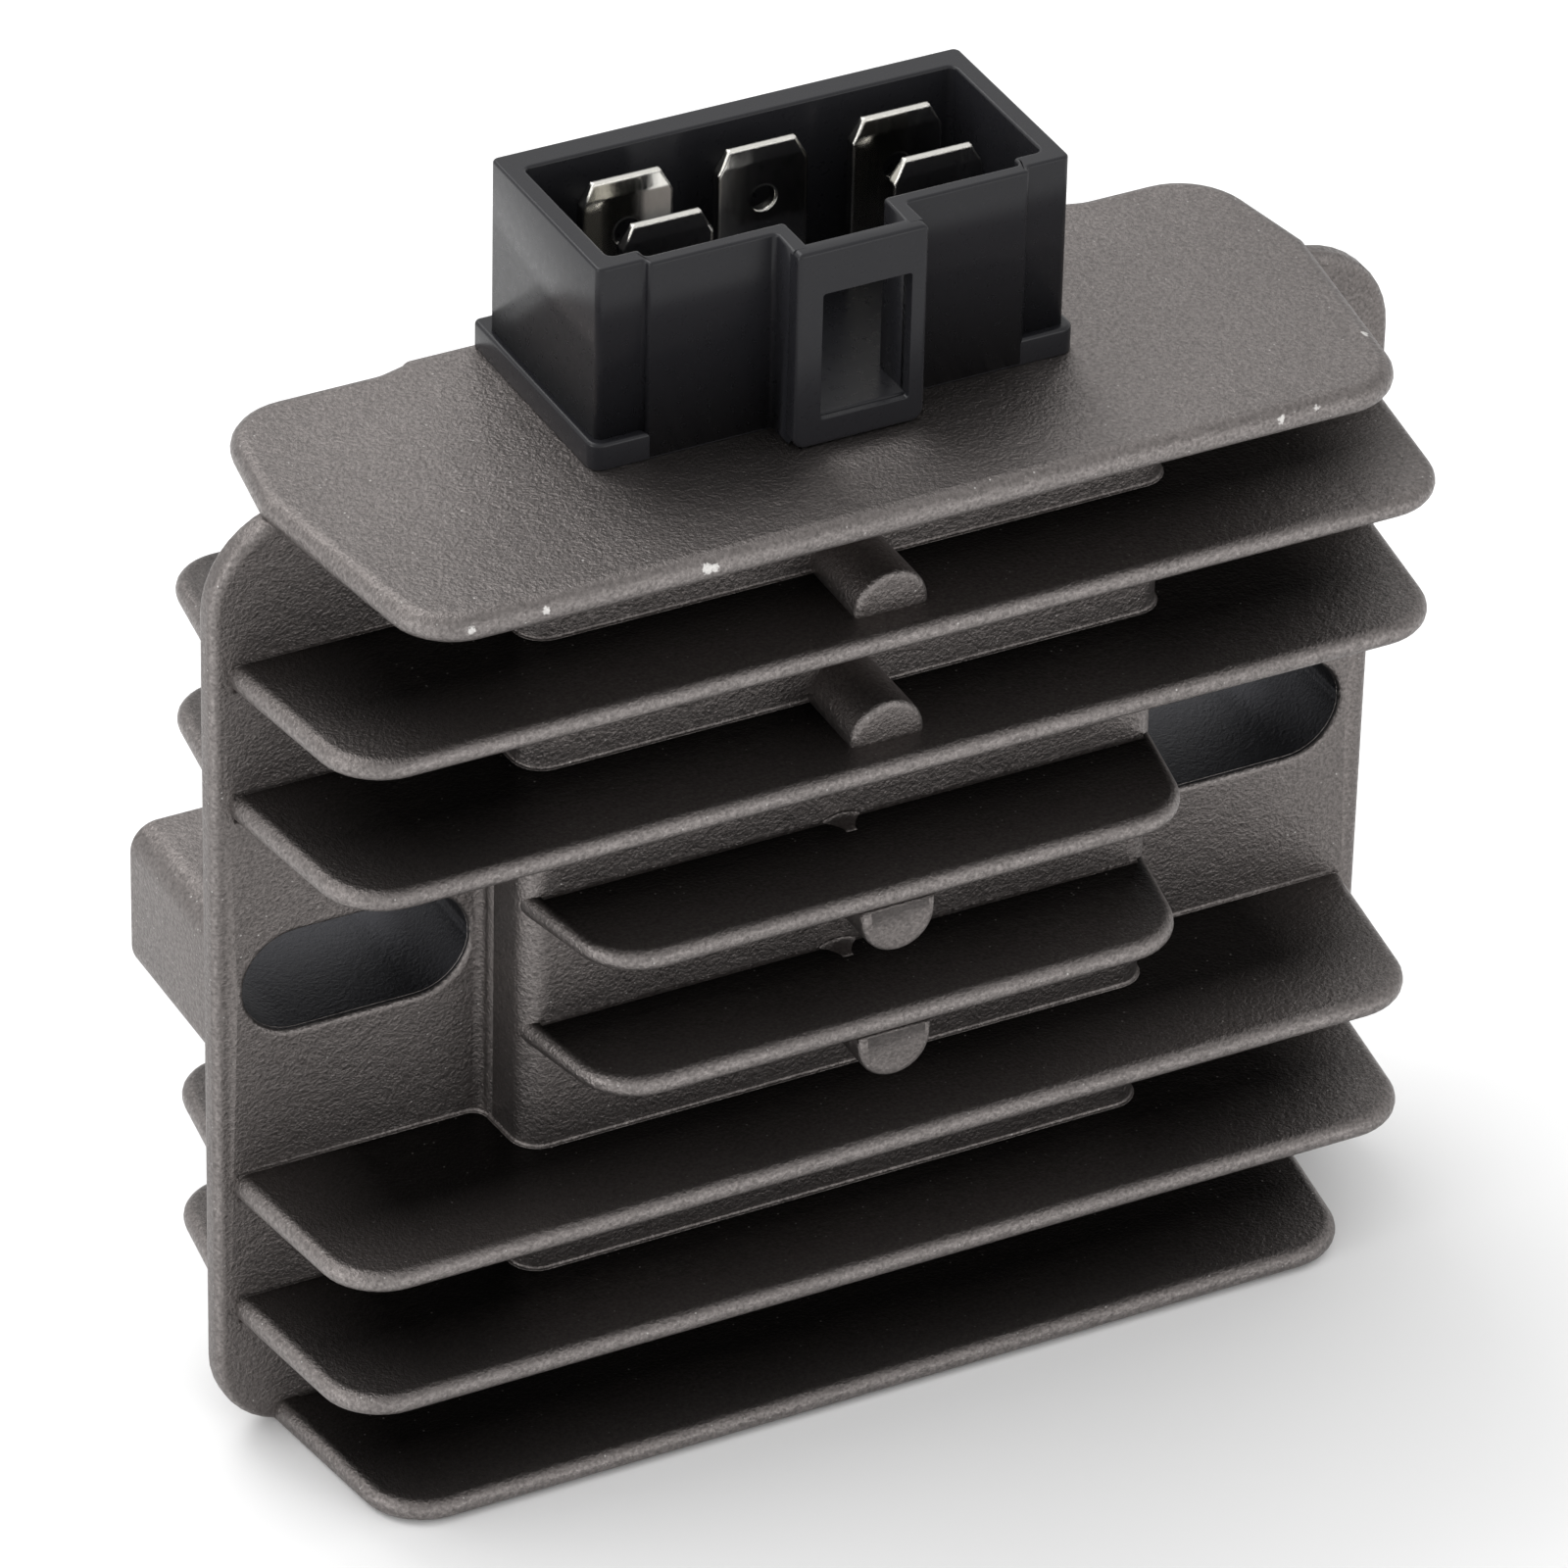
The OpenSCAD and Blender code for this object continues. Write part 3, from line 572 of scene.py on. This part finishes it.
def pad(skins, x, z, up, front, root):
    """A half-round pad above a fin, or hanging below it, with its front edge rounded.

    At the angle t its outline is r (cos t, sin t) from its centre; r shrinks by a quarter circle
    of radius 0.45 mm at the front, and the foot of the outline stays inside the fin.
    """
    r, foot = size("pad_r"), -0.9
    inset, level, wear = edge_profile(front, root, 0.45, SHARP)
    t = np.linspace(0, math.pi, 25)
    radius = (r - inset)[:, None]
    across, height = radius * np.cos(t), radius * np.sin(t)
    across = np.concatenate([across, across[:, -1:], across[:, :1]], 1)
    height = np.concatenate([height, np.full((len(inset), 2), foot)], 1)
    depth = np.broadcast_to(level[:, None], across.shape)
    skins.add(np.stack([x + across, depth, z + up * height], -1), wear=wear)


def pads(skins):
    """Ejector pads: two stand on the upper fins, two hang flush with the short fins' edges."""
    block, x, r, hang, pad_len = size("block_depth", "pad_x", "pad_r", "pad_hang", "pad_len")
    root, front = 0.5 - block, 0.2 - size("fin_depth")
    for i in (0, 1):
        pad(skins, x, fin_top(i), 1, -block - pad_len, root)
    # The hanging pads widen by up to 0.5 mm in a curve to their roots, over the last 1.6 mm
    curve, rise, _ = quarter(6)
    spread, back = 0.5 * rise, -block - 1.6 * curve
    inset, level = np.append(0.3, -spread[::-1]), np.append(back[-1] - 0.02, back[::-1])
    turn = np.linspace(0, 2 * math.pi, 49)[:-1]
    circle = np.stack([np.cos(turn), np.sin(turn)], 1)
    for i in (2, 3):
        z = fin_top(i) - size("fin_root_t") - hang
        pad(skins, x, z, -1, front, root)
        skins.add(upright(rings_of((circle * r + (x, z), circle), inset, level)))


def ear_boss(skins, side):
    """Thick boss behind an ear, with the slot running through it.

    It starts 0.45 mm inside the plate, just past the rounding of the slot's front rim, so that
    the joint of the two doesn't show on the slot's wall.
    """
    pot, z, h, r = size("pot_half_w"), -size("slot_drop"), size("ear_h") / 2, size("ear_r")
    outer = end_outline(side, pot - 0.8, HALF_PLATE - CLEAR, z - h, z + h, (r, r, 0.9))
    profile = rim_profile(0.45, size("mount_depth"), SHARP, 0.5, SHARP, 0.35)
    ring_skin(skins, outer, slot_outline(side, CLEAR), profile, cored=True)


def raised_block(skins):
    """Block in front of the pot: leaning sides, rounded upright corners and fillets beside it.

    The fillets have the radius r: at the angle a their curve is r (1 - cos a) out from the side
    and r (1 - sin a) in front of the plate, and both its ends run on inside the metal.
    """
    root, draft, depth, r = size("block_half_w", "block_draft", "block_depth", "block_r")
    face, back_r, edge, inside = root - draft, 0.5, 0.2, 1
    corners = [(-face, -depth), (face, -depth), (root, inside), (-root, inside)]
    outline = rounded(corners, [r, r, back_r, back_r], steps=8)
    inset, level, _ = edge_profile(pot_low(), -size("flange_t") / 2, edge, edge)
    # The first two corners, in front, are rubbed and get a painted highlight, most in their middles
    rub = 0.9 * np.sin(np.linspace(0, math.pi, 9))
    wear = np.concatenate([rub, rub, np.zeros(len(outline[0]) - 2 * len(rub))])
    skins.add(rings_of(outline, inset, level), wear=wear[:, None])
    r, low, high = 0.6, pot_low() + 0.2, -size("flange_t")
    curve, rise, _ = quarter(8)
    out = np.concatenate([[-0.04], r * curve, [r + 0.1, r + 0.1, -0.6, -0.6]])
    y = np.concatenate([[-r - 0.8], -r * rise, [0.01, 0.5, 0.5, -r - 0.8]])
    levels = np.array([low, low + HOLD, high - HOLD, high])
    for side in (-1, 1):
        x = side * (root + out - draft * np.clip(-y, 0, None) / depth)
        plan = np.broadcast_to(np.stack([x, y], 1), (len(levels), len(x), 2))
        skins.add(at_level(plan, levels[:, None]))


def pot(skins):
    """The open pot behind the plate, whose rim stands round the resin."""
    x, wall, r, depth = size("pot_half_w", "pot_wall", "pot_r", "pot_depth")
    outer = box_outline((-x, pot_low()), (x, -CLEAR), [1.2, 1.2, 0.9, 0.9], steps=8)
    inner = box_outline((wall - x, pot_low() + wall), (x - wall, -3.0), r, steps=8)
    ring_skin(skins, outer, inner, rim_profile(1.0, depth, SHARP, 0.7, SHARP, 0.3))


def casting_skins():
    """All the skins of the casting, which run into each other where the metal is one."""
    skins = Skins()
    half_w, short, low_w, low_x = size("fin_half_w", "short_half_w", "low_half_w", "low_x")
    root_t, tip_t, flange, plate = size("fin_root_t", "fin_tip_t", "flange_t", "plate_t")
    depth, low_depth, block = size("fin_depth", "low_depth", "block_depth")
    front, rear = (root_t, tip_t, 0, -depth), (root_t, tip_t, plate, size("rear_depth"))
    for side in (-1, 1):
        plate_end(skins, side)
        ear_boss(skins, side)
    plate_middle(skins)
    raised_block(skins)
    pot(skins)
    pads(skins)
    fin(skins, flange_outline(), 0.0, flange, flange, 0, -depth, finned=0.0)
    cove(skins, wall_path(size("flange_half_w") - 2.5), -flange, -1, 0.8)
    for i in (0, 1, 4, 5):
        top = fin_top(i)
        fin(skins, front_outline(half_w, plate - SUNK, depth), top, *front)
        fin_coves(skins, wall_path(half_w - 0.5), top)
        for side in (-1, 1):
            if i < 5:
                fin(skins, rear_outline(side), top, *rear)
            fin_coves(skins, rear_path(side), top)
    # The last full fin runs through under the pot, flush with its lower wall
    fin(skins, full_rear_outline(half_w, 0.0), fin_top(5), *rear)
    for i in (2, 3):
        fin(skins, front_outline(short, 2 - block, depth), fin_top(i), *front)
        fin_coves(skins, straight_path(leaned(short, block) - 0.4, -block), fin_top(i))
    top, outline = FOOT + root_t, front_outline(low_w, plate - SUNK, low_depth, low_x)
    fin(skins, outline, top, root_t, tip_t, 0, -low_depth)
    fin(skins, full_rear_outline(low_w, low_x), top, *rear)
    fin_coves(skins, straight_path(low_w - 1.2, 0), top, under=False)
    return skins


def housing_walls(skins):
    """The socket's walls: one section carried round the housing, open where the latch's front is.

    The outer and inner lines turn at matching corners. At each point the section runs up the outer
    line, over the rim with quarter circles of radius r at both edges, and down the inner line.
    """
    shift, width, back, post, post_w = housing("x", "width", "back", "post", "post_w")
    end_wall, wall, back_wall, step = housing("end_wall", "front_wall", "back_wall", "step")
    half, front = width / 2, post + step
    x0, x1, y = half - post_w, housing("latch_w") / 2, housing("latch_front") - 0.8
    outer = [(x1, -y), (x1, -front), (x0, -front), (x0, -post), (half, -post), (half, back)]
    x1, end = housing("latch_bay") / 2, half - end_wall
    x0, inner_front, inner_post = x0 - 0.2, wall - front, end_wall - post
    inner = [(x1, -y), (x1, inner_front), (x0, inner_front), (x0, inner_post), (end, inner_post),
             (end, back - back_wall)]
    c, r, top = housing("corner_r", "rim_r", "height")
    radii = [0, c, 0.29, 0.29, 0.5, 0.5]
    outer, inner = (rounded(mirrored(line, shift), radii + radii[::-1], closed=False, steps=5)
                    for line in (outer, inner))
    curve, rise, _ = quarter()
    inset, drop = np.append(r * curve, r + 0.06), np.append(r * rise, 0.0)
    # From 0.15 mm above the flange up the outer side, and down to 0.8 mm below the socket's floor
    section = [(outer, 0.0, 0.15)]
    section += [(outer, -i, top - d) for i, d in zip(inset, drop)]
    section += [(inner, i, top - d) for i, d in zip(inset[::-1], drop[::-1])]
    section += [(inner, 0.0, housing("floor") - 0.8)]
    skins.add(np.stack([at_level(line[0] + line[1] * i, z) for line, i, z in section], 1))


def latch_front(skins):
    """Front wall of the latch box, round its window."""
    x, wide, height, r = housing("x", "latch_w", "height", "latch_r")
    y, wall = housing("latch_front", "latch_wall")
    half, low, top = wide / 2 + 0.015, 0.03, height - 0.01
    outer = box_outline((x - half, low), (x + half, top), [r, r, 0.4, 0.4], steps=8)
    shift, wide, low, high = housing("window_x", "window_w", "window_low", "window_h")
    mid, half = x + shift, wide / 2
    inner = box_outline((mid - half, low), (mid + half, low + high), 0.2, steps=8)
    ring_skin(skins, outer, inner, rim_profile(-y, wall - y, 0.25, 0.1, SHARP, SHARP))


def housing_skins():
    """The connector housing: walls, latch front, skirt, floor and the foot sunk in the flange."""
    skins = Skins()
    housing_walls(skins)
    latch_front(skins)
    x, width, post, step, back = housing("x", "width", "post", "step", "back")
    skirt, out, out_back, floor = housing("skirt", "skirt_out", "skirt_back", "floor")
    half, front = width / 2, post + step - 0.01
    inset, level, _ = edge_profile(0.02, skirt, SHARP, 0.25)
    outline = box_outline((x - half - out, -front), (x + half + out, back + out_back),
                          [0.9, 0.9, 0.5, 0.5], steps=8)
    skins.add(rings_of(outline, inset, level))
    # The floor reaches some 0.5 mm into the walls and is 1.1 mm thick, with its rims 0.2 mm in
    bay, mid = housing("latch_bay") / 2 + 0.4, half - housing("post_w") + 0.2
    wide, box_y = half - housing("end_wall") + 0.4, 0.5 - housing("latch_front")
    wall_y, post_y = 0.5 - front, 0.9 - post
    side = [(bay, box_y), (bay, wall_y), (mid, wall_y), (mid, post_y), (wide, post_y),
            (wide, back - 1.4)]
    line = rounded(mirrored(side, x), 0.3, steps=3)
    under = floor - 1.1
    skins.add(rings_of(line, [0.2, 0.0, 0.0, 0.2], [under, under, floor, floor]))
    # The foot goes down to the hidden bottom of its seat in the casting
    foot = box_outline((x - half + 1.5, 2.2 - post), (x + half - 1.5, back - 1.0), 1.0)
    skins.add(rings_of(foot, [0.2, 0.0, 0.0], [-4.98, -4.8, 1.0]))
    return skins


def add(tree, kind, inputs=None, out=0, **settings):
    """Adds a node with its settings, input values and links, and gives the output asked for."""
    node = tree.nodes.new("ShaderNode" + kind)
    for key, value in settings.items():
        setattr(node, key, value)
    wire(node, inputs or {})
    return node.outputs[out] if node.outputs else node


def wire(node, inputs):
    """Fills a node's inputs by name: a socket of another node is linked."""
    for key, value in inputs.items():
        if isinstance(value, bpy.types.NodeSocket):
            node.id_data.links.new(value, node.inputs[key])
        else:
            node.inputs[key].default_value = value


def material(name):
    """A new node material, its tree, its shader and the object's own coordinates."""
    made = bpy.data.materials.new(name)
    made.use_nodes = True
    tree = made.node_tree
    return made, tree, tree.nodes["Principled BSDF"], add(tree, "TexCoord", out="Object")


def colours():
    """The finishes' colours as a dictionary of linear RGBA."""
    group = bpy.context.scene.regulator_colours
    return {key: (*getattr(group, key), 1.0) for key in FinishColours.__annotations__}


def blasted_aluminium():
    """Die-cast aluminium after bead blasting: dull bare metal, finely pitted, with rubbed edges."""
    made, tree, shader, where = material("blasted cast aluminium")
    shades = colours()
    rub, cored, finned = (add(tree, "Attribute", out="Fac", attribute_name=mark)
                          for mark in Skins.MARKS)
    # Blasting leaves pits about 0.25 mm across on dents of some 1 mm; the shade drifts over 14 mm
    grain, dents, drift = (
        add(tree, "TexNoise", {"Vector": where, "Scale": 1 / (across * MM), "Detail": detail,
                               "Roughness": rough})
        for across, detail, rough in ((0.26, 3.0, 0.65), (1.1, 2.0, 0.5), (14, 3.0, 0.5)))
    # Pits look darker and a little rougher, and the ridges between them lighter
    speck, shade, rough = (
        add(tree, "MapRange", {"Value": value, "From Min": 0.3, "From Max": full,
                               "To Min": least, "To Max": most})
        for value, full, least, most in ((grain, 0.72, 0.68, 1.32), (drift, 0.7, 0.94, 1.06),
                                         (grain, 0.7, 0.48, 0.37)))
    both = add(tree, "Math", {0: speck, 1: shade}, operation="MULTIPLY")
    # Rubbed edges with a painted highlight: only the crown of the rounding, and broken up by the
    # pits
    crown = add(tree, "MapRange", {"Value": rub, "From Min": 0.45, "To Max": 0.9})
    edge = add(tree, "Math", {0: crown, 1: grain}, operation="MULTIPLY")
    # Painted shade: the level faces between the fins are darkened more and more from 0.5 to 7 mm
    # behind the fins' edges, but much less over the last 9 mm at the fins' ends
    place = add(tree, "SeparateXYZ", {0: where}).node.outputs
    level = add(tree, "SeparateXYZ", {0: add(tree, "NewGeometry", out="Normal")}, "Z")
    level, across = (add(tree, "Math", {0: value}, operation="ABSOLUTE")
                     for value in (level, place["X"]))
    level = add(tree, "MapRange", {"Value": level, "From Min": 0.8, "From Max": 0.99})
    tip = (SINK_HIGH[1] - size("mount_depth") - size("fin_depth")) * MM
    deep = add(tree, "MapRange", {"Value": place["Y"], "From Min": tip + 0.5 * MM,
                                  "From Max": tip + 7 * MM})
    ends = size("fin_half_w") * MM
    inner = add(tree, "MapRange", {"Value": across, "From Min": ends - 9 * MM, "From Max": ends,
                                   "To Min": 1.0, "To Max": 0.3})
    for factor in (level, inner, finned):
        deep = add(tree, "Math", {0: deep, 1: factor}, operation="MULTIPLY")
    metal = shades["casting"]
    for factor, shade in ((edge, "rubbed_edge_and_highlight"), (deep, "painted_fin_shade")):
        metal = add(tree, "Mix", {"Factor": factor, "A": metal, "B": shades[shade]},
                    "Result", data_type="RGBA")
    metal = add(tree, "VectorMath", {0: metal, "Scale": both}, operation="SCALE")
    # Painted glints: a few ridges are coloured like grains of bright metal catching the light, one
    # of about 0.1 mm in a cell of 0.6 mm, brighter or fainter by the cell's own chance, and none in
    # about half of the cells
    cell = add(tree, "TexVoronoi", {"Vector": where, "Scale": 1 / (0.6 * MM)})
    near = add(tree, "MapRange", {"Value": cell, "From Min": 0.07, "From Max": 0.13,
                                  "To Min": 1.0, "To Max": 0.0})
    chance = add(tree, "SeparateXYZ", {0: cell.node.outputs["Color"]})
    chance = add(tree, "MapRange", {"Value": chance, "From Min": 0.55, "To Max": 0.8})
    glint_and_chip = add(tree, "Math", {0: near, 1: chance}, operation="MULTIPLY")
    glint_and_chip = add(tree, "Math", {0: glint_and_chip, 1: cored}, operation="SUBTRACT", use_clamp=True)
    # Knocks along the flange have bared the metal, with edges as ragged as the pits: the grain
    # takes up to 0.7 mm off the distance, about 0.35 mm in its middle
    for x, y, z, r in CHIPS:
        at = ((np.array([x, y, z]) + origin_of_casting()) * MM).tolist()
        away = add(tree, "VectorMath", {0: where, 1: at}, "Value", operation="DISTANCE")
        ragged = add(tree, "Math", {0: grain, 1: -0.7 * MM, 2: away}, operation="MULTIPLY_ADD")
        bare = add(tree, "MapRange", {"Value": ragged, "From Min": (r - 0.4) * MM,
                                      "From Max": (r - 0.3) * MM, "To Min": 1.0, "To Max": 0.0})
        glint_and_chip = add(tree, "Math", {0: glint_and_chip, 1: bare}, operation="MAXIMUM")
    glint_and_chip = add(tree, "Math", {0: glint_and_chip, 1: 0.6}, operation="MULTIPLY")
    # The slots' walls get painted shade, a darker colour, and a smoother skin with less relief, as
    # the core pin left them
    for factor, shade in ((cored, "cored"), (glint_and_chip, "chips_and_glints")):
        metal = add(tree, "Mix", {"Factor": factor, "A": metal, "B": shades[shade]},
                    "Result", data_type="RGBA")
    rough = add(tree, "Mix", {"Factor": cored, "A": rough, "B": 0.5})
    relief = add(tree, "MapRange", {"Value": cored, "To Min": 0.3, "To Max": 0.08})
    bump = add(tree, "Bump", {"Height": dents, "Strength": relief, "Distance": 0.2 * MM})
    bump = add(tree, "Bump", {"Height": grain, "Strength": 0.9, "Distance": 0.1 * MM,
                              "Normal": bump})
    wire(shader, {"Base Color": metal, "Metallic": 1.0, "Roughness": rough, "Normal": bump})
    return made


def black_nylon():
    """Glass-filled nylon moulding: deep black with a satin skin."""
    made, tree, shader, where = material("black moulded nylon")
    # The skin's fine orange peel is about 0.6 mm across
    skin = add(tree, "TexNoise", {"Vector": where, "Scale": 1 / (0.6 * MM), "Detail": 3.0})
    rough = add(tree, "MapRange", {"Value": skin, "From Min": 0.3, "From Max": 0.7,
                                   "To Min": 0.26, "To Max": 0.32})
    bump = add(tree, "Bump", {"Height": skin, "Strength": 0.15, "Distance": 0.02 * MM})
    wire(shader, {"Base Color": colours()["moulding"], "Specular IOR Level": 0.24,
                  "Roughness": rough, "Normal": bump})
    return made


def tin_plate():
    """Tin plate on brass: bright metal with faint drawing lines up the blade."""
    made, tree, shader, where = material("tin plated brass")
    # The lines are about 0.25 mm apart and eight times as long as they are wide
    lines = add(tree, "Mapping", {"Vector": where, "Scale": (1.0, 1.0, 0.12)})
    streak = add(tree, "TexNoise", {"Vector": lines, "Scale": 1 / (0.25 * MM), "Detail": 3.0})
    rough = add(tree, "MapRange", {"Value": streak, "From Min": 0.3, "From Max": 0.7,
                                   "To Min": 0.07, "To Max": 0.13})
    soft = add(tree, "Bevel", {"Radius": 0.3 * MM}, samples=6)
    bump = add(tree, "Bump", {"Height": streak, "Strength": 0.03, "Distance": 0.01 * MM,
                              "Normal": soft})
    wire(shader, {"Base Color": colours()["tin"], "Metallic": 1.0, "Roughness": rough,
                  "Normal": bump})
    return made


def cast_resin():
    """Black epoxy poured into the pot: smooth, slightly sunken and glossy."""
    made, tree, shader, where = material("cast epoxy resin")
    # The poured surface waves over about 9 mm
    wave = add(tree, "TexNoise", {"Vector": where, "Scale": 1 / (9 * MM), "Detail": 2.0})
    bump = add(tree, "Bump", {"Height": wave, "Strength": 0.4, "Distance": 0.3 * MM})
    wire(shader, {"Base Color": colours()["resin"], "Roughness": 0.28, "Normal": bump})
    return made


def plain_inside(name, hex_value, metallic, roughness):
    """Finish of a piece sealed in the resin: its own colour with a fine mottle."""
    made, tree, shader, where = material(name)
    mottle = add(tree, "TexNoise", {"Vector": where, "Scale": 1 / (0.8 * MM)})
    rough = add(tree, "MapRange", {"Value": mottle, "To Min": roughness - 0.1,
                                   "To Max": roughness + 0.1})
    wire(shader, {"Base Color": linear(hex_value), "Metallic": metallic, "Roughness": rough})
    return made


def dress(node, made):
    """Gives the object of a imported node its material."""
    mesh = bpy.data.objects[node].data
    mesh.materials.clear()
    mesh.materials.append(made)


class REGULATOR_OT_casting(bpy.types.Operator):
    """Builds the finned casting with rounded edges and fillets"""
    bl_idname = "regulator.casting"
    bl_label = "Finned casting"

    def execute(self, context):
        piece = casting_skins().build("heat_sink_casting", blasted_aluminium())
        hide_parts("heat_sink")
        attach(piece, "root")
        return {"FINISHED"}


class REGULATOR_OT_connector(bpy.types.Operator):
    """Builds the connector housing with rounded rims and finishes its blades"""
    bl_idname = "regulator.connector"
    bl_label = "Connector and blades"

    def execute(self, context):
        piece = housing_skins().build("connector_moulding", black_nylon())
        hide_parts("connector_housing")
        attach(piece, "root")
        tin = tin_plate()
        for node in ("phase_terminal_1", "phase_terminal_2", "phase_terminal_3",
                     "positive_terminal", "negative_terminal"):
            dress(node, tin)
        return {"FINISHED"}


class REGULATOR_OT_electronics(bpy.types.Operator):
    """Finishes the resin and what is sealed in it"""
    bl_idname = "regulator.electronics"
    bl_label = "Potted electronics"

    def execute(self, context):
        dress("potting_resin", cast_resin())
        kinds = {
            "copper": plain_inside("bare copper", "#B87446", 1.0, 0.35),
            "ceramic": plain_inside("alumina ceramic", "#E8E6DF", 0.0, 0.5),
            "chip": plain_inside("moulding compound", "#2A2B2E", 0.0, 0.55),
            "circuit_board": plain_inside("lacquered glass fibre", "#2F5D3A", 0.0, 0.4),
            "capacitor_can": plain_inside("sleeved can", "#30343A", 0.0, 0.35),
        }
        for entry in frame["record"]["subparts"]:
            if entry["material_slot"] in kinds:
                dress(entry["node"], kinds[entry["material_slot"]])
        return {"FINISHED"}


def looking(direction, roll):
    """Angles of an object whose -Z looks along the direction, turned by roll degrees about it."""
    turn = Vector(direction).to_track_quat("-Z", "Y").to_matrix()
    return (turn @ Matrix.Rotation(math.radians(roll), 3, "Z")).to_euler()


def lamp(name, place, power, width, height):
    """A rectangular soft lamp at a place, turned to the lamps' aim point."""
    data = bpy.data.lights.new(name, "AREA")
    data.shape = "RECTANGLE"
    data.energy, data.size, data.size_y = power, width, height
    piece = placed(name, data)
    piece.location = place
    piece.rotation_euler = looking(np.array(LAMPS_AIM) - np.array(place), 0.0)


class REGULATOR_OT_studio(bpy.types.Operator):
    """Adds the camera, the soft lamps, the floor and the world"""
    bl_idname = "regulator.studio"
    bl_label = "Studio"

    def execute(self, context):
        scene = context.scene
        studio = scene.regulator_studio
        azimuth, elevation = math.radians(studio.azimuth), math.radians(studio.elevation)
        back = np.array([math.sin(azimuth) * math.cos(elevation),
                         -math.cos(azimuth) * math.cos(elevation), math.sin(elevation)])
        data = bpy.data.cameras.new("camera")
        data.sensor_width, data.lens = 36.0, studio.lens
        data.clip_start, data.clip_end = 0.01, 20.0
        scene.camera = camera = placed("camera", data)
        camera.location = np.array(studio.aim) + back * studio.distance
        camera.rotation_euler = looking(-back, studio.roll)
        self.floor(CAD_BOUNDS[0][2])
        for settings in LAMPS:
            lamp(*settings)
        # A white world, at whose strength a colour renders about as it is written
        world = scene.world or bpy.data.worlds.new("world")
        scene.world = world
        world.use_nodes = True
        tree = world.node_tree
        tree.nodes.clear()
        sky = add(tree, "Background", {"Color": (1, 1, 1, 1), "Strength": 1.0})
        add(tree, "OutputWorld", {"Surface": sky})
        scene.view_settings.view_transform = "Standard"
        return {"FINISHED"}

    def floor(self, level):
        """A wide pale floor at the object's foot, of matt paper."""
        half = 1.5  # metres
        mesh = bpy.data.meshes.new("floor")
        mesh.from_pydata([(-half, -half, level), (half, -half, level), (half, half, level),
                          (-half, half, level)], [], [(0, 1, 2, 3)])
        made, _, shader, _ = material("studio paper")
        wire(shader, {"Base Color": colours()["floor"], "Roughness": 0.9})
        mesh.materials.append(made)
        piece = placed("floor", mesh)


class REGULATOR_PT_panel(bpy.types.Panel):
    """Lists the pieces and the sizes"""
    bl_label = "Voltage regulator rectifier"
    bl_idname = "REGULATOR_PT_panel"
    bl_space_type = "VIEW_3D"
    bl_region_type = "UI"
    bl_category = "Regulator"

    def draw(self, context):
        for operator in OPERATORS:
            self.layout.operator(operator.bl_idname)
        for group in GROUPS:
            box = self.layout.box()
            settings = getattr(context.scene, group)
            for key in type(settings).__annotations__:
                box.prop(settings, key)


OPERATORS = (REGULATOR_OT_casting, REGULATOR_OT_connector, REGULATOR_OT_electronics,
             REGULATOR_OT_studio)
GROUPS = {"regulator_casting": CastingSizes, "regulator_housing": HousingSizes,
          "regulator_colours": FinishColours, "regulator_studio": StudioSettings}
CLASSES = (*GROUPS.values(), *OPERATORS, REGULATOR_PT_panel)


def register():
    for cls in CLASSES:
        bpy.utils.register_class(cls)
    for name, cls in GROUPS.items():
        setattr(bpy.types.Scene, name, bpy.props.PointerProperty(type=cls))


def unregister():
    for name in GROUPS:
        delattr(bpy.types.Scene, name)
    for cls in reversed(CLASSES):
        bpy.utils.unregister_class(cls)


def main():
    register()
    bpy.ops.regulator.casting()
    bpy.ops.regulator.connector()
    bpy.ops.regulator.electronics()
    bpy.ops.regulator.studio()


if __name__ == "__main__":
    main()
